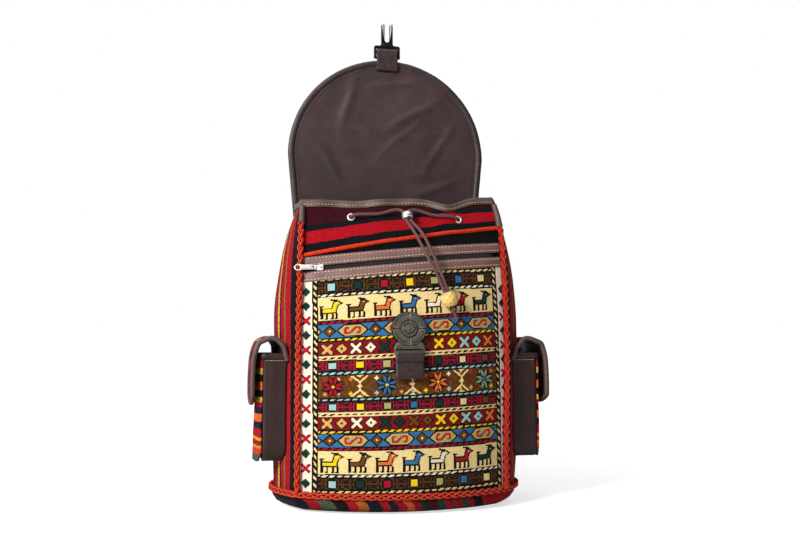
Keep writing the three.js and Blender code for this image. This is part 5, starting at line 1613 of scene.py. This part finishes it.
# Back: yoke, padded straps, tails, patches and grab handle
def panel_of_hide(name, node, s0, s1, z0, z1, out):
    def place(a, b):
        s, z = mix(s1, s0, a), mix(z0, z1, b)
        rounded = 1.2 * min(1, 6 * min(a, 1 - a), 6 * min(b, 1 - b)) ** 0.5
        return raised(back, s, z, out + rounded + 0.25 * noise.noise(Vector((s * 9, z * 0.06, 4))))

    hide = piece(name, laid(50, 20, place), HIDE, [node])
    thick(hide, 1.8)
    ring_path = [place(a, b) for a, b in ((0.04, 0.06), (0.96, 0.06), (0.96, 0.94), (0.04, 0.94),
                                          (0.04, 0.06))]
    spots = []
    for p, q in zip(ring_path, ring_path[1:]):
        spots += sewn_line([p, p.lerp(q, 0.5), q], 4.2, lambda p: Vector((0, 1, 0.1)), 0.2)
    piece(name + "_stitches", stitches(spots, 3.0, 0.9), PALE_THREAD)


panel_of_hide("back_yoke_leather", "back_yoke", -0.72, 0.72, 302, 344.6, 1.6)


def behind(x, z, out):
    return Vector((x, back_y(z) + out, z))


STRAP = kilim("kilim_strap_stripes", [(9, "#7c1022"), (3, "#dcb432"), (7, "#12161e"), (10, "#b01424"),
                                      (7, "#12161e"), (3, "#dcb432"), (30, "#7c1022")])
for name, sign in SIDES:
    def run(t, out):
        ease = t * t * (3 - 2 * t)
        return behind(sign * mix(42, 96, ease), mix(336, 112, t), out)

    strap_line, strap_length = smooth_path([run(0, 6.5), run(0.08, 7.5), run(0.2, 18.5), run(0.45, 44),
                                            run(0.75, 41), run(1, 27.3)], 160)
    strap_frames = frames_along(strap_line, lambda p: Vector((0, 1, 0)))

    def strap_place(a, b):
        p, way, side, up = strap_frames[round(b * 160)]
        turn = math.tau * a
        wide = 22 * math.copysign(abs(math.cos(turn)) ** 0.45, math.cos(turn))
        deep = 3.2 * math.copysign(abs(math.sin(turn)) ** 0.8, math.sin(turn))
        channel = 1 - 0.22 * bell(abs(wide) - 18.5, 1.2)
        return p + side * wide + up * deep * channel

    def strap_chart(a, b):
        return b * strap_length / CHART, 0.22 + 0.22 * math.cos(math.tau * a)

    strap_bm = laid(40, 160, strap_place, strap_chart, True)
    bmesh.ops.holes_fill(strap_bm, edges=[e for e in strap_bm.edges if e.is_boundary], sides=60)
    bmesh.ops.recalc_face_normals(strap_bm, faces=strap_bm.faces)
    piece(name + "_strap_padded", strap_bm, STRAP, [name + "_strap"])
    start = behind(sign * 99.5, 89, 17.6)
    foot = behind(sign * 105, 48, 5.1)
    tail_line, tail_length = smooth_path([start, start.lerp(foot, 0.55) + Vector((0, 1.5, 0)),
                                          foot + Vector((0, 0.4, 12)), foot], 40)
    tail_frames = frames_along(tail_line, lambda p: Vector((0, 1, 0)))

    def tail_place(a, b):
        p, way, side, up = tail_frames[round(b * 40)]
        return p + side * mix(13, -13, a) + up * 1.0

    tail_cloth = piece(name + "_strap_tail_web",
                       laid(30, 40, tail_place, lambda a, b: (b * tail_length / CHART, a * 0.26)), STRAP,
                       [name + "_strap_tail"])
    thick(tail_cloth, 2.0)
    panel_of_hide(name + "_strap_patch_leather", name + "_strap_patch", sign * 84 / BACK_HALF,
                  sign * 124 / BACK_HALF, 32, 64, 2.0)
handle_route = [behind(-14, 306, 7.5), behind(-14, 322, 8.4), behind(-15, 340, 30.9), behind(-8, 346, 39.4),
                behind(8, 346, 39.4), behind(15, 340, 30.9), behind(14, 322, 8.4), behind(14, 306, 7.5)]
handle_path = smooth_path(handle_route, 120)[0]
piece("grab_handle_rolled", tube(handle_path, 4.0, 14, lambda p: Vector((0.02, 0.1, 1))), HIDE,
      ["grab_handle"])


# Inside: the dark cotton lining and the pocket bag behind the zip
def lining_place(a, b):
    z = mix(5, 336, b)
    fold = 0.8 * noise.noise(Vector((math.cos(math.tau * a) * 6, math.sin(math.tau * a) * 6,
                                     z * 0.02)))
    p = around(max(z, 8), 6 + fold, a % 1.0)
    return Vector((p.x, p.y, z))


lining_bm = laid(120, 30, lining_place, weld=True)
bmesh.ops.holes_fill(lining_bm, edges=[e for e in lining_bm.edges if e.is_boundary
                                       and e.verts[0].co.z < 0.01], sides=200)
bmesh.ops.reverse_faces(lining_bm, faces=lining_bm.faces)
piece("lining_cotton", lining_bm, COTTON, ["lining"])


def pocket_bag_place(a, b):
    s = mix(-0.96, 0.96, a)
    return raised(front, s, mix(32, 280 + 11 * s, b), -4.4)


pocket_bag = piece("front_pocket_lining_cotton", laid(40, 30, pocket_bag_place), COTTON,
                   ["front_pocket_lining"])
thick(pocket_bag, 0.8)

# Floor, world and lamps
floor_bm = bmesh.new()
bmesh.ops.create_grid(floor_bm, x_segments=1, y_segments=1, size=14)
floor_mesh = bpy.data.meshes.new("floor")
floor_bm.to_mesh(floor_mesh)
floor_bm.free()
floor = bpy.data.objects.new("floor", floor_mesh)
floor_look = new_look("pale_studio_paper")
seen = put(floor_look, "ShaderNodeLightPath", out="Is Camera Ray")
paper = put(floor_look, "ShaderNodeBsdfDiffuse", {"Color": linear("#f4f3f1")})
spot = put(floor_look, "ShaderNodeTexCoord", out="Object")
away = put(floor_look, "ShaderNodeVectorMath", (spot,), "Value", operation="LENGTH")
fade = put(floor_look, RANGE, (away, 0.3, 1.3, 0.66, 1.0))
bright = put(floor_look, MATH, (seen, fade), operation="MULTIPLY")
glow = put(floor_look, "ShaderNodeEmission", {"Color": (1, 1, 1, 1), "Strength": bright})
both = put(floor_look, "ShaderNodeAddShader", (paper, glow))
put(floor_look, "ShaderNodeOutputMaterial", {"Surface": both})
floor_mesh.materials.append(floor_look)
scene.collection.objects.link(floor)

world = bpy.data.worlds.new("studio")
scene.world = world
world.use_nodes = True
world.node_tree.nodes.clear()
rays = put(world, "ShaderNodeLightPath").node.outputs
mirrored = put(world, MATH, (rays["Is Glossy Ray"], rays["Is Transmission Ray"]), operation="MAXIMUM")
way = put(world, "ShaderNodeTexCoord", out="Generated")
lean = put(world, "ShaderNodeVectorMath", (way, (-0.7, -0.1, 0.7)), "Value", operation="DOT_PRODUCT")
softbox = put(world, RANGE, (lean, 0.1, 0.95, 0.04, 2.0))
AMBIENT = 0.1
lit = put(world, MATH, (softbox, AMBIENT), operation="SUBTRACT")
lit = put(world, MATH, (mirrored, lit), operation="MULTIPLY")
lit = put(world, MATH, (lit, AMBIENT), operation="ADD")
shown = put(world, MATH, (1.0, lit), operation="SUBTRACT")
shown = put(world, MATH, (rays["Is Camera Ray"], shown), operation="MULTIPLY")
strength = put(world, MATH, (lit, shown), operation="ADD")
sky = put(world, "ShaderNodeBackground", {"Color": (1, 1, 1, 1), "Strength": strength})
put(world, "ShaderNodeOutputWorld", {"Surface": sky})


def lamp(name, place, target, size, power):
    light = bpy.data.lights.new(name, "AREA")
    light.energy = power
    light.size = size
    obj = bpy.data.objects.new(name, light)
    obj.location = place
    obj.rotation_euler = (Vector(target) - Vector(place)).to_track_quat("-Z", "Y").to_euler()
    scene.collection.objects.link(obj)


lamp("key", (-1.85, -1.6, 1.45), (0, 0, 0.28), 0.8, 84)
lamp("top", (0.1, -0.4, 2.2), (0, 0, 0.3), 1.4, 7)
lamp("rear", (1.4, 1.8, 1.6), (0, 0, 0.3), 1.2, 10)
